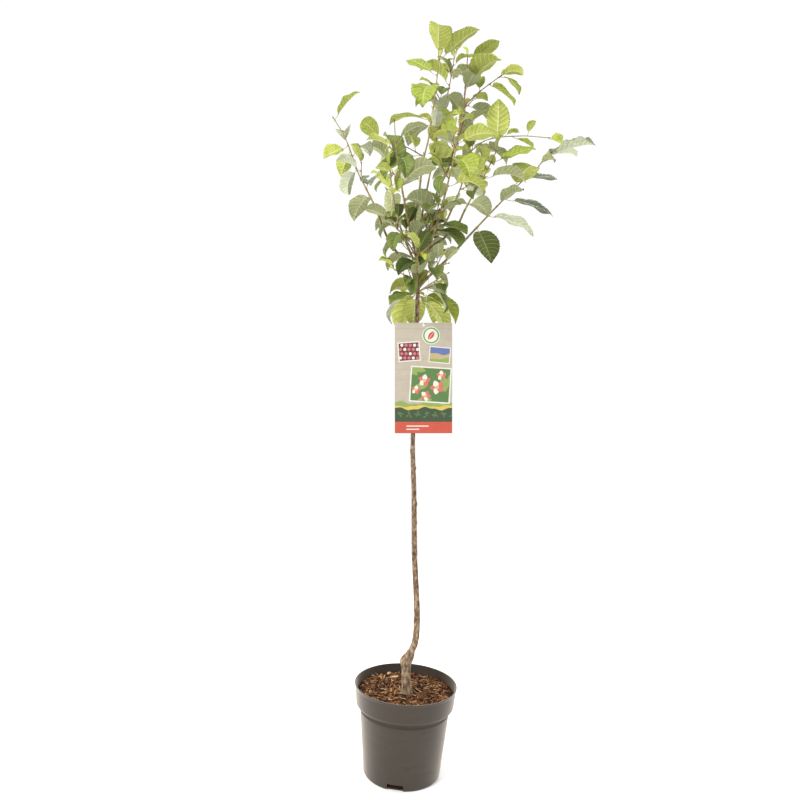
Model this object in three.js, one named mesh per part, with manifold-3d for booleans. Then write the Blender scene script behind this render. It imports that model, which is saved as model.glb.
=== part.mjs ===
// A potted morello cherry: a young grafted tree in a black nursery pot, with its hanging label.
// Millimetres, +Z up, origin at the centre of the pot's underside, the label's face towards -Y.
import * as THREE from 'three';
import { mergeVertices } from 'three/addons/utils/BufferGeometryUtils.js';
import Module from 'manifold-3d';

const wasm = await Module();
wasm.setup();

// Clearance between pieces that touch
const GAP = 0.3;

// Nursery pot
const POT = {
  height: 206,
  rimRadius: 120,
  collarFoot: 163,
  collarFootRadius: 115,
  stepFoot: 148,
  bodyRadius: 105,
  footRadius: 89.5,
  wall: 2,
  floor: 3,
  edge: 2,
  segments: 32,
  notches: 3,
  notchTurn: -100,
  notchWidth: 38,
  notchHeight: 14,
  notchDepth: 6,
};

// Bark mulch and compost that fill the pot
const SOIL = { top: 182, edgeRise: 2, crownRadius: 50, slopeRadius: 80, slopeRise: 1, seatRadius: 20 };
const LUMPS = { height: 1.6, wave: 0.12, fineHeight: 0.9, fineWave: 0.3 };

// Trunk: centre line with the radius at each point, cut flat where it leaves the soil
const TRUNK_ROUTE = [
  [3, 0, 182.3, 13.2], [1, 0, 205, 10.8], [-1, 0, 232, 10.1], [-1, 1, 250, 12.2], [3, 1, 266, 13.4],
  [9, 2, 281, 9.6], [17, 2, 303, 7.8], [19, 3, 339, 7.6], [17, 4, 385, 7.3], [5, 1, 511, 6.6],
  [-4, -1, 659, 5.8], [-12, 0, 760, 5.4], [-16, 1, 921, 5.1], [-19, 0, 1119, 4.9],
  [-23, 0, 1215, 4.5], [-21, 0, 1262, 4.0],
];
const TRUNK_SIDES = 10;
const TRUNK_STEPS = 30;
const BOUGH_SIDES = 6;
const BOUGH_STEPS = 8;

// Boughs: route, and the radius at the foot and at the tip
const BOUGHS = {
  left: {
    route: [[-23, 0, 1164], [-55, -8, 1199], [-93, -18, 1242], [-129, -32, 1317]],
    foot: 3.4,
    tip: 2.3,
  },
  right_low: {
    route: [[-19, 0, 1139], [18, 8, 1182], [50, 14, 1216], [112, 30, 1292]],
    foot: 3.5,
    tip: 2.4,
  },
  right_high: {
    route: [[-22, 0, 1210], [6, -12, 1234], [35, -20, 1254], [63, -28, 1282], [79, -34, 1318]],
    foot: 3.2,
    tip: 2.3,
  },
  leader_left: {
    route: [[-23, 0, 1222], [-34, -12, 1268], [-35, -19, 1312], [-28, -24, 1362]],
    foot: 3.2,
    tip: 2.5,
  },
  leader_right: {
    route: [[-21, 0, 1258], [-17, 0, 1290], [1, 2, 1326], [17, 4, 1373], [37, 6, 1424]],
    foot: 3.8,
    tip: 2.8,
  },
  leader_rear: {
    route: [[-22, 0, 1238], [-21, 14, 1280], [-15, 22, 1341], [-8, 32, 1390], [5, 46, 1486]],
    foot: 2.8,
    tip: 2.0,
  },
  front_left: {
    route: [[-21, 0, 1190], [-36, -38, 1232], [-52, -82, 1279], [-66, -122, 1326]],
    foot: 3.0,
    tip: 2.1,
  },
  front_right: {
    route: [[-20, 0, 1172], [0, -40, 1226], [17, -84, 1280], [28, -124, 1330]],
    foot: 3.0,
    tip: 2.1,
  },
  rear_left: {
    route: [[-20, 0, 1178], [-42, 50, 1233], [-65, 110, 1296], [-84, 160, 1364]],
    foot: 3.2,
    tip: 2.1,
  },
  rear_right: {
    route: [[-22, 0, 1198], [10, 45, 1249], [44, 95, 1323], [69, 140, 1392]],
    foot: 3.2,
    tip: 2.1,
  },
};

// Masses of foliage: what the stem grows from, its route and radius at the foot, long side twigs,
// the usual leaf's length, the distance between leaves, and the number that starts the rule. The leaves
// that stand out are set by measure, in degrees and in millimetres up the stem, or up the first or second
// of the side twigs: the rule grows the others.
const MASSES = {
  left: {
    from: 'left',
    stem: [[-129, -32, 1317], [-154, -40, 1359], [-172, -48, 1390], [-202, -58, 1459], [-231, -66, 1501]],
    radius: 2.1,
    twigs: [],
    leaf: 76,
    step: 26,
    seed: 13,
    set: [
      { at: 210, heading: -30, rise: 50, bend: 25, blade: 70, stalk: 15, roll: 25, fold: 10 },
      { at: 135, heading: 110, rise: -20, bend: 15, blade: 70, stalk: 15, roll: 5, fold: 10 },
      { at: 145, heading: 140, rise: -5, bend: 10, blade: 60, stalk: 20, roll: 15, fold: 10 },
      { at: 90, heading: 125, rise: -15, bend: 100, blade: 60, stalk: 15, roll: 0, fold: 25 },
      { at: 25, heading: 120, rise: 0, bend: 60, blade: 85, stalk: 10, roll: 0, fold: 15 },
    ],
  },
  right_low: {
    from: 'right_low',
    stem: [[112, 30, 1292], [163, 40, 1353], [218, 50, 1415], [253, 56, 1449], [279, 60, 1490]],
    radius: 2.2,
    twigs: [],
    leaf: 86,
    step: 30,
    seed: 94,
    set: [
      { at: 5, heading: 60, rise: -25, bend: 15, blade: 105, stalk: 15, roll: -5, fold: 25 },
      { at: 45, heading: 0, rise: -5, bend: 30, blade: 110, stalk: 15, roll: 0, fold: 10 },
      { at: 105, heading: 5, rise: -5, bend: 20, blade: 105, stalk: 25, roll: 35, fold: 10 },
      { at: 135, heading: -80, rise: 20, bend: 25, blade: 100, stalk: 30, roll: -10, fold: 5 },
      { at: 180, heading: 30, rise: 20, bend: 20, blade: 90, stalk: 20, roll: 35, fold: 5 },
      { at: 255, heading: 25, rise: 25, bend: 25, blade: 90, stalk: 15, roll: 20, fold: 25 },
      { at: 260, heading: -30, rise: 10, bend: 10, blade: 95, stalk: 25, roll: 20, fold: 20 },
    ],
  },
  right_high: {
    from: 'right_high',
    stem: [[79, -34, 1318], [96, -38, 1353], [118, -44, 1395], [140, -50, 1445], [143, -53, 1468]],
    radius: 2.1,
    twigs: [],
    leaf: 80,
    step: 22,
    seed: 69,
    set: [
      { at: 160, heading: -90, rise: 80, bend: 10, blade: 85, stalk: 15, roll: 0, fold: 5 },
      { at: 120, heading: 0, rise: 25, bend: 10, blade: 85, stalk: 25, roll: 40, fold: 10 },
    ],
  },
  leader_left: {
    from: 'leader_left',
    stem: [
      [-28, -24, 1362], [-23, -32, 1427], [-14, -36, 1473], [-9, -39, 1520], [-3, -42, 1585],
      [1, -44, 1660],
    ],
    radius: 2.3,
    twigs: [[[-25, -33, 1438], [-69, -48, 1453], [-128, -62, 1461]]],
    leaf: 82,
    step: 33,
    seed: 83,
    set: [
      { at: 295, heading: -95, rise: 15, bend: 15, blade: 95, stalk: 30, roll: -20, fold: 10 },
      { at: 295, heading: -35, rise: 30, bend: 15, blade: 95, stalk: 20, roll: 10, fold: 10 },
      { at: 260, heading: 145, rise: 40, bend: 15, blade: 85, stalk: 25, roll: -35, fold: 10 },
      { at: 230, heading: -110, rise: -15, bend: 65, blade: 105, stalk: 35, roll: -10, fold: 5 },
      { at: 160, heading: 150, rise: 20, bend: 40, blade: 90, stalk: 30, roll: -15, fold: 15 },
      { at: 150, heading: 135, rise: 0, bend: 50, blade: 75, stalk: 10, roll: 0, fold: 10 },
      { at: 80, heading: -170, rise: -10, bend: 70, blade: 90, stalk: 30, roll: -40, fold: 20 },
      { at: 50, heading: -15, rise: 15, bend: 40, blade: 95, stalk: 20, roll: 0, fold: 15 },
      { on: 1, at: 105, heading: -130, rise: 30, bend: 30, blade: 60, stalk: 10, roll: 50, fold: 15 },
    ],
  },
  leader_right: {
    from: 'leader_right',
    stem: [[37, 6, 1424], [53, 8, 1485], [67, 8, 1538], [68, 6, 1606], [70, 4, 1696]],
    radius: 2.6,
    twigs: [
      [[43, 7, 1446], [78, 0, 1458], [125, -10, 1492], [200, -20, 1501], [266, -28, 1497]],
      [[67, 7, 1576], [107, -4, 1611], [148, -12, 1642]],
    ],
    leaf: 76,
    step: 33,
    seed: 26,
    set: [
      { at: 200, heading: -55, rise: 25, bend: 35, blade: 105, stalk: 20, roll: 0, fold: 5 },
      { at: 245, heading: -45, rise: 25, bend: 10, blade: 75, stalk: 25, roll: 0, fold: 5 },
      { on: 1, at: 135, heading: -15, rise: 35, bend: 60, blade: 30, stalk: 10, roll: -15, fold: 20 },
      { on: 1, at: 155, heading: 15, rise: -15, bend: 10, blade: 45, stalk: 15, roll: 10, fold: 10 },
      { on: 1, at: 190, heading: -70, rise: 65, bend: 70, blade: 35, stalk: 10, roll: 0, fold: 10 },
      { on: 1, at: 235, heading: 0, rise: -15, bend: 20, blade: 30, stalk: 10, roll: 0, fold: 20 },
      { on: 2, at: 75, heading: 35, rise: -5, bend: 20, blade: 80, stalk: 10, roll: 45, fold: 20 },
      { on: 2, at: 100, heading: -15, rise: 30, bend: 70, blade: 50, stalk: 15, roll: -30, fold: 20 },
      { on: 2, at: 105, heading: 45, rise: 15, bend: 60, blade: 70, stalk: 20, roll: 30, fold: 10 },
    ],
  },
  leader_rear: {
    from: 'leader_rear',
    stem: [[5, 46, 1486], [13, 54, 1555], [25, 60, 1607], [34, 63, 1651], [42, 66, 1719]],
    radius: 1.9,
    twigs: [],
    leaf: 78,
    step: 25,
    seed: 37,
    set: [],
  },
  front_left: {
    from: 'front_left',
    stem: [[-66, -122, 1326], [-77, -155, 1368], [-85, -182, 1410], [-89, -200, 1446]],
    radius: 1.9,
    twigs: [],
    leaf: 76,
    step: 18,
    seed: 103,
    set: [],
  },
  front_right: {
    from: 'front_right',
    stem: [[28, -124, 1330], [37, -156, 1374], [44, -184, 1420], [47, -204, 1462]],
    radius: 1.9,
    twigs: [],
    leaf: 76,
    step: 18,
    seed: 7,
    set: [],
  },
  rear_left: {
    from: 'rear_left',
    stem: [[-84, 160, 1364], [-98, 200, 1434], [-107, 228, 1496], [-116, 245, 1550]],
    radius: 1.9,
    twigs: [],
    leaf: 82,
    step: 24,
    seed: 21,
    set: [],
  },
  rear_right: {
    from: 'rear_right',
    stem: [[69, 140, 1392], [90, 180, 1463], [106, 210, 1527], [116, 235, 1586]],
    radius: 1.9,
    twigs: [],
    leaf: 82,
    step: 24,
    seed: 114,
    set: [],
  },
  low: {
    from: 'trunk',
    stem: [[-19, 0, 1116], [-20, 14, 1129], [-20, 26, 1134]],
    radius: 2.2,
    twigs: [],
    leaf: 94,
    step: 4,
    seed: 51,
    set: [
      { at: 30, heading: -150, rise: 20, bend: 70, blade: 70, stalk: 15, roll: 35, fold: 15 },
      { at: 20, heading: -140, rise: -20, bend: 10, blade: 75, stalk: 15, roll: -15, fold: 15 },
      { at: 30, heading: 115, rise: -20, bend: 80, blade: 105, stalk: 25, roll: -5, fold: 30 },
      { at: 25, heading: 160, rise: -20, bend: 85, blade: 85, stalk: 30, roll: -15, fold: 10 },
      { at: 30, heading: 25, rise: 25, bend: 75, blade: 65, stalk: 20, roll: -15, fold: 20 },
      { at: 30, heading: 0, rise: -20, bend: 40, blade: 100, stalk: 25, roll: 35, fold: 20 },
      { at: 10, heading: 35, rise: -25, bend: 45, blade: 100, stalk: 30, roll: 0, fold: 5 },
    ],
  },
  spur_left: {
    from: 'trunk',
    stem: [[-20, 0, 1148], [-48, -12, 1162], [-74, -18, 1174]],
    radius: 1.8,
    twigs: [],
    leaf: 66,
    step: 11,
    seed: 52,
    set: [],
  },
  spur_right: {
    from: 'trunk',
    stem: [[-19, 0, 1158], [14, -14, 1184], [48, -20, 1196]],
    radius: 1.8,
    twigs: [],
    leaf: 66,
    step: 11,
    seed: 7,
    set: [],
  },
  inner_left: {
    from: 'trunk',
    stem: [[-22, 0, 1202], [-52, -20, 1244], [-92, -40, 1286]],
    radius: 1.8,
    twigs: [],
    leaf: 72,
    step: 12,
    seed: 76,
    set: [],
  },
  inner_right: {
    from: 'trunk',
    stem: [[-22, 0, 1222], [4, -30, 1276], [20, -56, 1330]],
    radius: 1.8,
    twigs: [],
    leaf: 74,
    step: 12,
    seed: 72,
    set: [],
  },
  inner_front: {
    from: 'trunk',
    stem: [[-21, 0, 1150], [-24, -44, 1176], [-27, -88, 1206]],
    radius: 1.8,
    twigs: [],
    leaf: 70,
    step: 12,
    seed: 77,
    set: [],
  },
  inner_rear: {
    from: 'trunk',
    stem: [[-22, 0, 1226], [-34, 40, 1268], [-42, 76, 1320]],
    radius: 1.8,
    twigs: [],
    leaf: 74,
    step: 12,
    seed: 23,
    set: [],
  },
  inner_low: {
    from: 'trunk',
    stem: [[-19, 0, 1128], [12, -36, 1146], [46, -68, 1164]],
    radius: 1.8,
    twigs: [],
    leaf: 76,
    step: 12,
    seed: 30,
    set: [],
  },
};

// Hanging label of stiff plastic card, turned a little so that it hangs out of plumb with the trunk
const LABEL = { width: 135, height: 260, thickness: 0.9, x: 4.5, y: -7, z: 926.5, turn: -2.95 };
const LABEL_HOLE = { radius: 2.6, drop: 6, sides: 12 };
const STRING = { radius: 0.7, sides: 5, steps: 24, bough: 'right_low', along: 0.22, pinch: 1.4 };

// Colours
const COLOURS = {
  pot: 0x4a423c,
  soil: 0x5a3420,
  trunk: 0x7d6a55,
  bough: 0x85704c,
  leaf: 0x6f9436,
  label: 0xb9b4a6,
  string: 0xe9e7df,
};

// Numbers from 0 to 1 that are the same each time for the same seed
function seeded(seed) {
  const modulus = 2147483647;
  let state = (seed * 7919 + 12345) % modulus;
  return () => {
    state = (state * 16807) % modulus;
    return state / modulus;
  };
}

const radians = (degrees) => (degrees * Math.PI) / 180;

const vector = (point) => new THREE.Vector3(point[0], point[1], point[2]);

const smoothCurve = (route) => new THREE.CatmullRomCurve3(route.map(vector), false, 'catmullrom', 0.5);

// The closed mesh of a geometry, with its shared vertices merged, as a solid that can be joined or cut
function solid(geometry) {
  const bare = geometry.clone();
  bare.deleteAttribute('normal');
  bare.deleteAttribute('uv');
  const merged = mergeVertices(bare, 1e-4);
  const vertProperties = new Float32Array(merged.attributes.position.array);
  const triVerts = new Uint32Array(merged.index.array);
  const made = new wasm.Manifold(new wasm.Mesh({ numProp: 3, vertProperties, triVerts }));
  return made;
}

// The triangles of a solid as a geometry
function geometryOf(made) {
  const mesh = made.getMesh();
  const geometry = new THREE.BufferGeometry();
  geometry.setAttribute('position', new THREE.BufferAttribute(new Float32Array(mesh.vertProperties), 3));
  geometry.setIndex(new THREE.BufferAttribute(new Uint32Array(mesh.triVerts), 1));
  geometry.computeVertexNormals();
  return geometry;
}

// The largest connected piece of a solid
function largestPiece(made) {
  const pieces = made.decompose();
  pieces.sort((a, b) => b.volume() - a.volume());
  return pieces[0];
}

// Directions across a line that runs along a tangent
function across(tangent) {
  const reference = Math.abs(tangent.y) < 0.8 ? new THREE.Vector3(0, 1, 0) : new THREE.Vector3(0, 0, 1);
  const side = new THREE.Vector3().crossVectors(tangent, reference).normalize();
  const other = new THREE.Vector3().crossVectors(side, tangent).normalize();
  return { side, other };
}

// A round limb along a curve, whose radius is a function of the place along it and of the angle
function limb(curve, radiusAt, sides, steps, level = false, extra = 0) {
  const geometry = new THREE.CylinderGeometry(1, 1, 1, sides, steps);
  const positions = geometry.attributes.position;
  for (let i = 0; i < positions.count; i += 1) {
    const t = Math.min(1, Math.max(0, positions.getY(i) + 0.5));
    const x = positions.getX(i);
    const z = positions.getZ(i);
    const reach = Math.hypot(x, z);
    const angle = Math.atan2(z, x);
    const centre = curve.getPoint(t);
    const tangent = curve.getTangent(t);
    const { side, other } = level
      ? { side: new THREE.Vector3(1, 0, 0), other: new THREE.Vector3(0, -1, 0) }
      : across(tangent);
    const radius = reach * (radiusAt(t, angle) + extra);
    const end = t === 0 ? -extra : extra;
    const run = t === 0 || t === 1 ? end : 0;
    centre.addScaledVector(side, radius * Math.cos(angle));
    centre.addScaledVector(other, radius * Math.sin(angle));
    centre.addScaledVector(tangent, run);
    positions.setXYZ(i, centre.x, centre.y, centre.z);
  }
  return solid(geometry);
}

// Trunk radius: between the route's values, with lobes at the root flare and a swelling at the graft
const trunkCurve = smoothCurve(TRUNK_ROUTE);
const FLARE = { height: 26, lobes: 5, depth: 0.14 };
const GRAFT = { z: 257, spread: 10, swell: 3.2 };

function trunkRadius(t, angle) {
  const place = t * (TRUNK_ROUTE.length - 1);
  const lower = Math.min(Math.floor(place), TRUNK_ROUTE.length - 2);
  const share = place - lower;
  const plain = TRUNK_ROUTE[lower][3] * (1 - share) + TRUNK_ROUTE[lower + 1][3] * share;
  const z = trunkCurve.getPoint(t).z;
  const above = z - TRUNK_ROUTE[0][2];
  const flare = Math.max(0, 1 - above / FLARE.height);
  const lobes = 1 + FLARE.depth * flare * Math.cos(FLARE.lobes * angle);
  const knob = Math.exp(-(((z - GRAFT.z) / GRAFT.spread) ** 2)) * Math.max(0, -Math.cos(angle));
  return plain * lobes + GRAFT.swell * knob;
}

function trunkSolid(extra = 0) {
  return limb(trunkCurve, trunkRadius, TRUNK_SIDES, TRUNK_STEPS, true, extra);
}

const taper = (foot, tip) => (t) => foot + (tip - foot) * t;

function boughSolid(name, extra = 0) {
  const bough = BOUGHS[name];
  const curve = smoothCurve(bough.route);
  return limb(curve, taper(bough.foot, bough.tip), BOUGH_SIDES, BOUGH_STEPS, false, extra);
}

// Pot: a cup with a deep collar, and drain notches through the edge of its foot
function potSolid() {
  const { height, rimRadius, collarFoot, collarFootRadius, stepFoot, bodyRadius, footRadius } = POT;
  const step = collarFootRadius - bodyRadius;
  const outline = [
    [0, 0],
    [footRadius - POT.edge, 0],
    [footRadius, POT.edge],
    [bodyRadius, stepFoot],
    [bodyRadius + step * 0.45, stepFoot + (collarFoot - stepFoot) * 0.2],
    [collarFootRadius - step * 0.15, collarFoot - (collarFoot - stepFoot) * 0.3],
    [collarFootRadius, collarFoot],
    [rimRadius - POT.edge / 2, height - 3 * POT.edge / 2],
    [rimRadius, height - POT.edge / 2],
    [rimRadius - POT.edge / 2, height],
    [rimRadius - POT.wall - POT.edge / 2, height],
    [collarFootRadius - POT.wall, collarFoot - 1],
    [bodyRadius - POT.wall, stepFoot + 1],
    [footRadius - POT.wall, POT.floor],
    [0, POT.floor],
  ];
  const points = outline.map(([radius, z]) => new THREE.Vector2(radius, z));
  const cup = solid(new THREE.LatheGeometry(points, POT.segments).rotateX(Math.PI / 2));
  let pot = cup;
  for (let i = 0; i < POT.notches; i += 1) {
    const notch = new THREE.BoxGeometry(2 * POT.notchDepth, POT.notchWidth, 2 * POT.notchHeight);
    notch.translate(POT.footRadius, 0, 0);
    notch.rotateZ(radians(POT.notchTurn + (i * 360) / POT.notches));
    pot = pot.subtract(solid(notch));
  }
  return pot;
}

// Soil: fills the pot, level where the trunk stands, lumpy and a little higher towards the wall
function soilSolid() {
  const inset = POT.wall + 2 * GAP;
  const floor = POT.floor + GAP;
  const behindNotches = POT.footRadius - POT.notchDepth - GAP;
  const overNotches = POT.notchHeight + GAP;
  const bodySlope = (POT.bodyRadius - POT.footRadius) / POT.stepFoot;
  const collarSlope = (POT.rimRadius - POT.collarFootRadius) / (POT.height - POT.collarFoot);
  const edge = SOIL.top + SOIL.edgeRise;
  const edgeRadius = POT.collarFootRadius + collarSlope * (edge - POT.collarFoot) - inset;
  const outline = [
    [0, floor],
    [behindNotches, floor],
    [behindNotches, overNotches],
    [POT.footRadius + bodySlope * overNotches - inset - GAP, overNotches],
    [POT.bodyRadius - inset, POT.stepFoot + 1],
    [POT.collarFootRadius - inset, POT.collarFoot],
    [edgeRadius, edge],
    [SOIL.slopeRadius, SOIL.top + SOIL.slopeRise],
    [SOIL.crownRadius, SOIL.top],
    [SOIL.seatRadius, SOIL.top],
    [0, SOIL.top],
  ];
  const points = outline.map(([radius, z]) => new THREE.Vector2(radius, z));
  const geometry = new THREE.LatheGeometry(points, POT.segments).rotateX(Math.PI / 2);
  const positions = geometry.attributes.position;
  for (let i = 0; i < positions.count; i += 1) {
    const x = positions.getX(i);
    const y = positions.getY(i);
    const z = positions.getZ(i);
    const radius = Math.hypot(x, y);
    const inside = radius > 1.25 * SOIL.seatRadius && radius < edgeRadius - 1;
    const onTop = inside && z > POT.collarFoot;
    if (onTop) {
      const lump = LUMPS.height * Math.sin(LUMPS.wave * x + 2) * Math.cos(LUMPS.wave * y);
      const fine = LUMPS.fineHeight * Math.sin(LUMPS.fineWave * (x - y));
      positions.setZ(i, z + lump + fine);
    }
  }
  return solid(geometry);
}

// How shoots branch and leaves stand on them: angles in degrees, lengths in millimetres
const RULE = {
  turn: 144,
  turnSpread: 36,
  turnWiden: 26,
  lean: [42, 68],
  tipLean: [8, 24],
  lowestRise: -22,
  bend: [28, 96],
  tipBend: [20, 52],
  roll: 62,
  fold: [9, 30],
  size: [0.8, 1.12],
  tipSizes: [0.62, 0.74, 0.88],
  petiole: [0.2, 0.32],
  width: 0.3,
  twigEvery: 3,
  twigLength: [16, 46],
  twigStep: 11,
  twigRadius: 1.3,
  twigLift: 12,
  twigSag: 0.06,
  firstLeaf: 0.6,
  lastLeaf: 4,
  setSpace: 0.45,
  twigLeaf: 0.85,
  tries: 12,
};
const SHOOT = { points: 24, tipShare: 0.45, tipRadius: 0.9 };
const SIDE_TWIG = { radius: 0.6, step: 0.9, leaf: 0.82 };
const BLADE = { thickness: 1.9, skew: 1.08, plump: 0.72, point: 7, pointed: 0.35 };
const STALK = { footRadius: 0.6, radius: 1.1, sunk: 0.6 };

// Distances that are kept: from limbs, between leaves, round the label and its string, between the balls
// along a limb, and the distance past which two leaves can't touch
const CLEAR = {
  limb: 5, ownShoot: 2.5, otherLeaf: 10, ownLeaf: 8, label: 6, string: 9, over: 14, ball: 6, far: 150,
};

const between = (range, share) => range[0] + (range[1] - range[0]) * share;

// Place and direction at a distance along a line of points
function placeOn(line, distance) {
  let left = Math.max(0, distance);
  for (let i = 0; i + 1 < line.length; i += 1) {
    const step = line[i + 1].clone().sub(line[i]);
    const length = step.length();
    if (left <= length || i + 2 === line.length) {
      const tangent = step.divideScalar(length);
      const point = line[i].clone().addScaledVector(tangent, Math.min(left, length));
      return { point, tangent };
    }
    left -= length;
  }
  return null;
}

function lengthOf(line) {
  let total = 0;
  for (let i = 0; i + 1 < line.length; i += 1) {
    total += line[i].distanceTo(line[i + 1]);
  }
  return total;
}

// Balls along a limb, which stand for it in the tests of clearance
function ballsAlong(line, foot, tip, owner) {
  const length = lengthOf(line);
  const count = Math.ceil(length / CLEAR.ball);
  const balls = [];
  for (let i = 0; i <= count; i += 1) {
    const { point } = placeOn(line, (length * i) / count);
    balls.push({ point, radius: foot + ((tip - foot) * i) / count, owner });
  }
  return balls;
}

// A shoot: its line of points, its radii, the distance between its leaves and their usual length
function makeShoot(mass, route, foot, step, leaf, isStem) {
  const line = smoothCurve(route).getPoints(SHOOT.points);
  const length = lengthOf(line);
  const tip = Math.max(SHOOT.tipRadius, foot * SHOOT.tipShare);
  return { mass, route, line, length, foot, tip, step, leaf, isStem };
}

// Aim of a leaf or twig that leaves a shoot: heading and rise
function aimFrom(place, turn, lean) {
  const { side, other } = across(place.tangent);
  const out = side.multiplyScalar(Math.cos(turn)).addScaledVector(other, Math.sin(turn));
  const aim = place.tangent.clone().multiplyScalar(Math.cos(lean)).addScaledVector(out, Math.sin(lean));
  return { heading: Math.atan2(aim.y, aim.x), rise: Math.asin(Math.max(-1, Math.min(1, aim.z))) };
}

// Point of a leaf at a distance along its midrib: a straight stalk, then a blade that bends down
function leafPoint(leaf, distance, share, lift) {
  const level = new THREE.Vector3(Math.cos(leaf.heading), Math.sin(leaf.heading), 0);
  const up = new THREE.Vector3(0, 0, 1);
  const onStalk = Math.min(distance, leaf.petiole);
  const onBlade = distance - onStalk;
  const curl = -leaf.bend / leaf.blade;
  const rise = leaf.rise + curl * onBlade;
  const along = onStalk * Math.cos(leaf.rise) + (Math.sin(rise) - Math.sin(leaf.rise)) / curl;
  const height = onStalk * Math.sin(leaf.rise) + (Math.cos(leaf.rise) - Math.cos(rise)) / curl;
  const point = leaf.foot.clone().addScaledVector(level, along).addScaledVector(up, height);
  const normal = level.clone().multiplyScalar(-Math.sin(rise)).addScaledVector(up, Math.cos(rise));
  const side = new THREE.Vector3(-Math.sin(leaf.heading), Math.cos(leaf.heading), 0);
  const cos = Math.cos(leaf.roll);
  const sin = Math.sin(leaf.roll);
  const turnedSide = side.clone().multiplyScalar(cos).addScaledVector(normal, sin);
  const turnedNormal = normal.clone().multiplyScalar(cos).addScaledVector(side, -sin);
  const width = leaf.blade * RULE.width * leafWidth(onBlade / leaf.blade);
  point.addScaledVector(turnedSide, share * width * Math.cos(leaf.fold));
  point.addScaledVector(turnedNormal, Math.abs(share) * width * Math.sin(leaf.fold) + lift);
  return point;
}

// Half width of a leaf along its blade, as a share of the greatest: round, then a drawn-out point
function leafWidth(t) {
  const place = Math.min(1, Math.max(0, t));
  const round = Math.sin(Math.PI * place ** BLADE.skew) ** BLADE.plump;
  const point = Math.min(1, (1 - place) * BLADE.point) ** BLADE.pointed;
  return round * point;
}

// Points of a leaf that are tested for clearance: rows across the blade, and the stalk
const BLADE_ROWS = [0.08, 0.22, 0.36, 0.5, 0.64, 0.78, 0.9];
const BLADE_SHARES = [-0.9, -0.45, 0, 0.45, 0.9];
const BLADE_MIDDLE = (BLADE_ROWS.length * BLADE_SHARES.length - 1) / 2;
const STALK_PLACES = [0.5, 1];

function testPoints(leaf) {
  const blade = [];
  for (const row of BLADE_ROWS) {
    for (const share of BLADE_SHARES) {
      blade.push(leafPoint(leaf, leaf.petiole + row * leaf.blade, share, 0));
    }
  }
  blade.push(leafPoint(leaf, leaf.petiole + leaf.blade, 0, 0));
  const stalk = STALK_PLACES.map((place) => leafPoint(leaf, place * leaf.petiole, 0, 0));
  return { blade, stalk };
}

// Whether every point keeps its distance from every ball of limbs and shoots
function clearOfBalls(points, balls, ownShoot) {
  for (const ball of balls) {
    const margin = ball.owner === ownShoot ? CLEAR.ownShoot : CLEAR.limb;
    const least = (ball.radius + margin) ** 2;
    for (const point of points) {
      if (point.distanceToSquared(ball.point) < least) {
        return false;
      }
    }
  }
  return true;
}

// Whether a leaf keeps its distance from the leaves that stand already
function clearOfLeaves(points, mass, standing) {
  for (const other of standing) {
    const least = (other.mass === mass ? CLEAR.ownLeaf : CLEAR.otherLeaf) ** 2;
    const held = other.points;
    const others = other.mass === mass ? held.blade : held.blade.concat(held.stalk);
    const mine = other.mass === mass ? points.blade : points.blade.concat(points.stalk);
    if (points.blade[BLADE_MIDDLE].distanceTo(held.blade[BLADE_MIDDLE]) < CLEAR.far) {
      for (const point of mine) {
        for (const theirs of others) {
          if (point.distanceToSquared(theirs) < least) {
            return false;
          }
        }
      }
    }
  }
  return true;
}

// Whether points keep their distance from all blades
function clearOfBlades(points, standing) {
  return standing.every((other) =>
    other.points.blade.every((held) =>
      points.every((point) => point.distanceTo(held) > CLEAR.otherLeaf)));
}

const stringCurve = smoothCurve(BOUGHS[STRING.bough].route);
const stringTop = stringCurve.getPoint(STRING.along);

// The label and its string keep the leaves off
function clearOfLabel(points) {
  const turn = radians(LABEL.turn);
  for (const point of points) {
    const dx = point.x - LABEL.x;
    const dz = point.z - LABEL.z;
    const wide = dx * Math.cos(turn) - dz * Math.sin(turn);
    const high = dx * Math.sin(turn) + dz * Math.cos(turn);
    const overWidth = Math.abs(wide) < LABEL.width / 2 + CLEAR.label;
    const overHeight = Math.abs(high) < LABEL.height / 2 + CLEAR.label;
    if (overWidth && overHeight && Math.abs(point.y - LABEL.y) < CLEAR.label) {
      return false;
    }
    const byString = Math.abs(wide) < CLEAR.string && high > 0 && point.z < stringTop.z + CLEAR.over;
    if (byString && point.y > LABEL.y - CLEAR.label && point.y < stringTop.y + CLEAR.over) {
      return false;
    }
  }
  return true;
}

// Adds a leaf to those that stand, if it touches nothing
function standsClear(leaf, shoot, balls, standing) {
  const points = testPoints(leaf);
  const all = points.blade.concat(points.stalk.slice(1));
  const clear = clearOfBalls(all, balls, shoot) && clearOfLabel(all)
    && clearOfLeaves(points, shoot.mass, standing);
  if (clear) {
    standing.push({ mass: shoot.mass, points });
  }
  return clear;
}

// Draws a leaf for a place on a shoot, again and again until it stands clear, or gives it up
function growLeaf(draw, shoot, distance, turn, size, isTip, balls, standing) {
  const place = placeOn(shoot.line, distance);
  for (let i = 0; i < RULE.tries; i += 1) {
    const spread = RULE.turnSpread + RULE.turnWiden * i;
    const turned = radians(turn + spread * (draw() - 0.5));
    const lean = radians(between(isTip ? RULE.tipLean : RULE.lean, draw()));
    const aim = aimFrom(place, turned, lean);
    const blade = size * between(RULE.size, draw());
    const leaf = {
      foot: place.point,
      heading: aim.heading,
      rise: Math.max(aim.rise, radians(RULE.lowestRise)),
      bend: radians(between(isTip ? RULE.tipBend : RULE.bend, draw())),
      blade,
      petiole: blade * between(RULE.petiole, draw()),
      roll: radians(RULE.roll * (draw() - 0.5)),
      fold: radians(between(RULE.fold, draw())),
    };
    if (standsClear(leaf, shoot, balls, standing)) {
      return leaf;
    }
  }
  return null;
}

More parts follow.
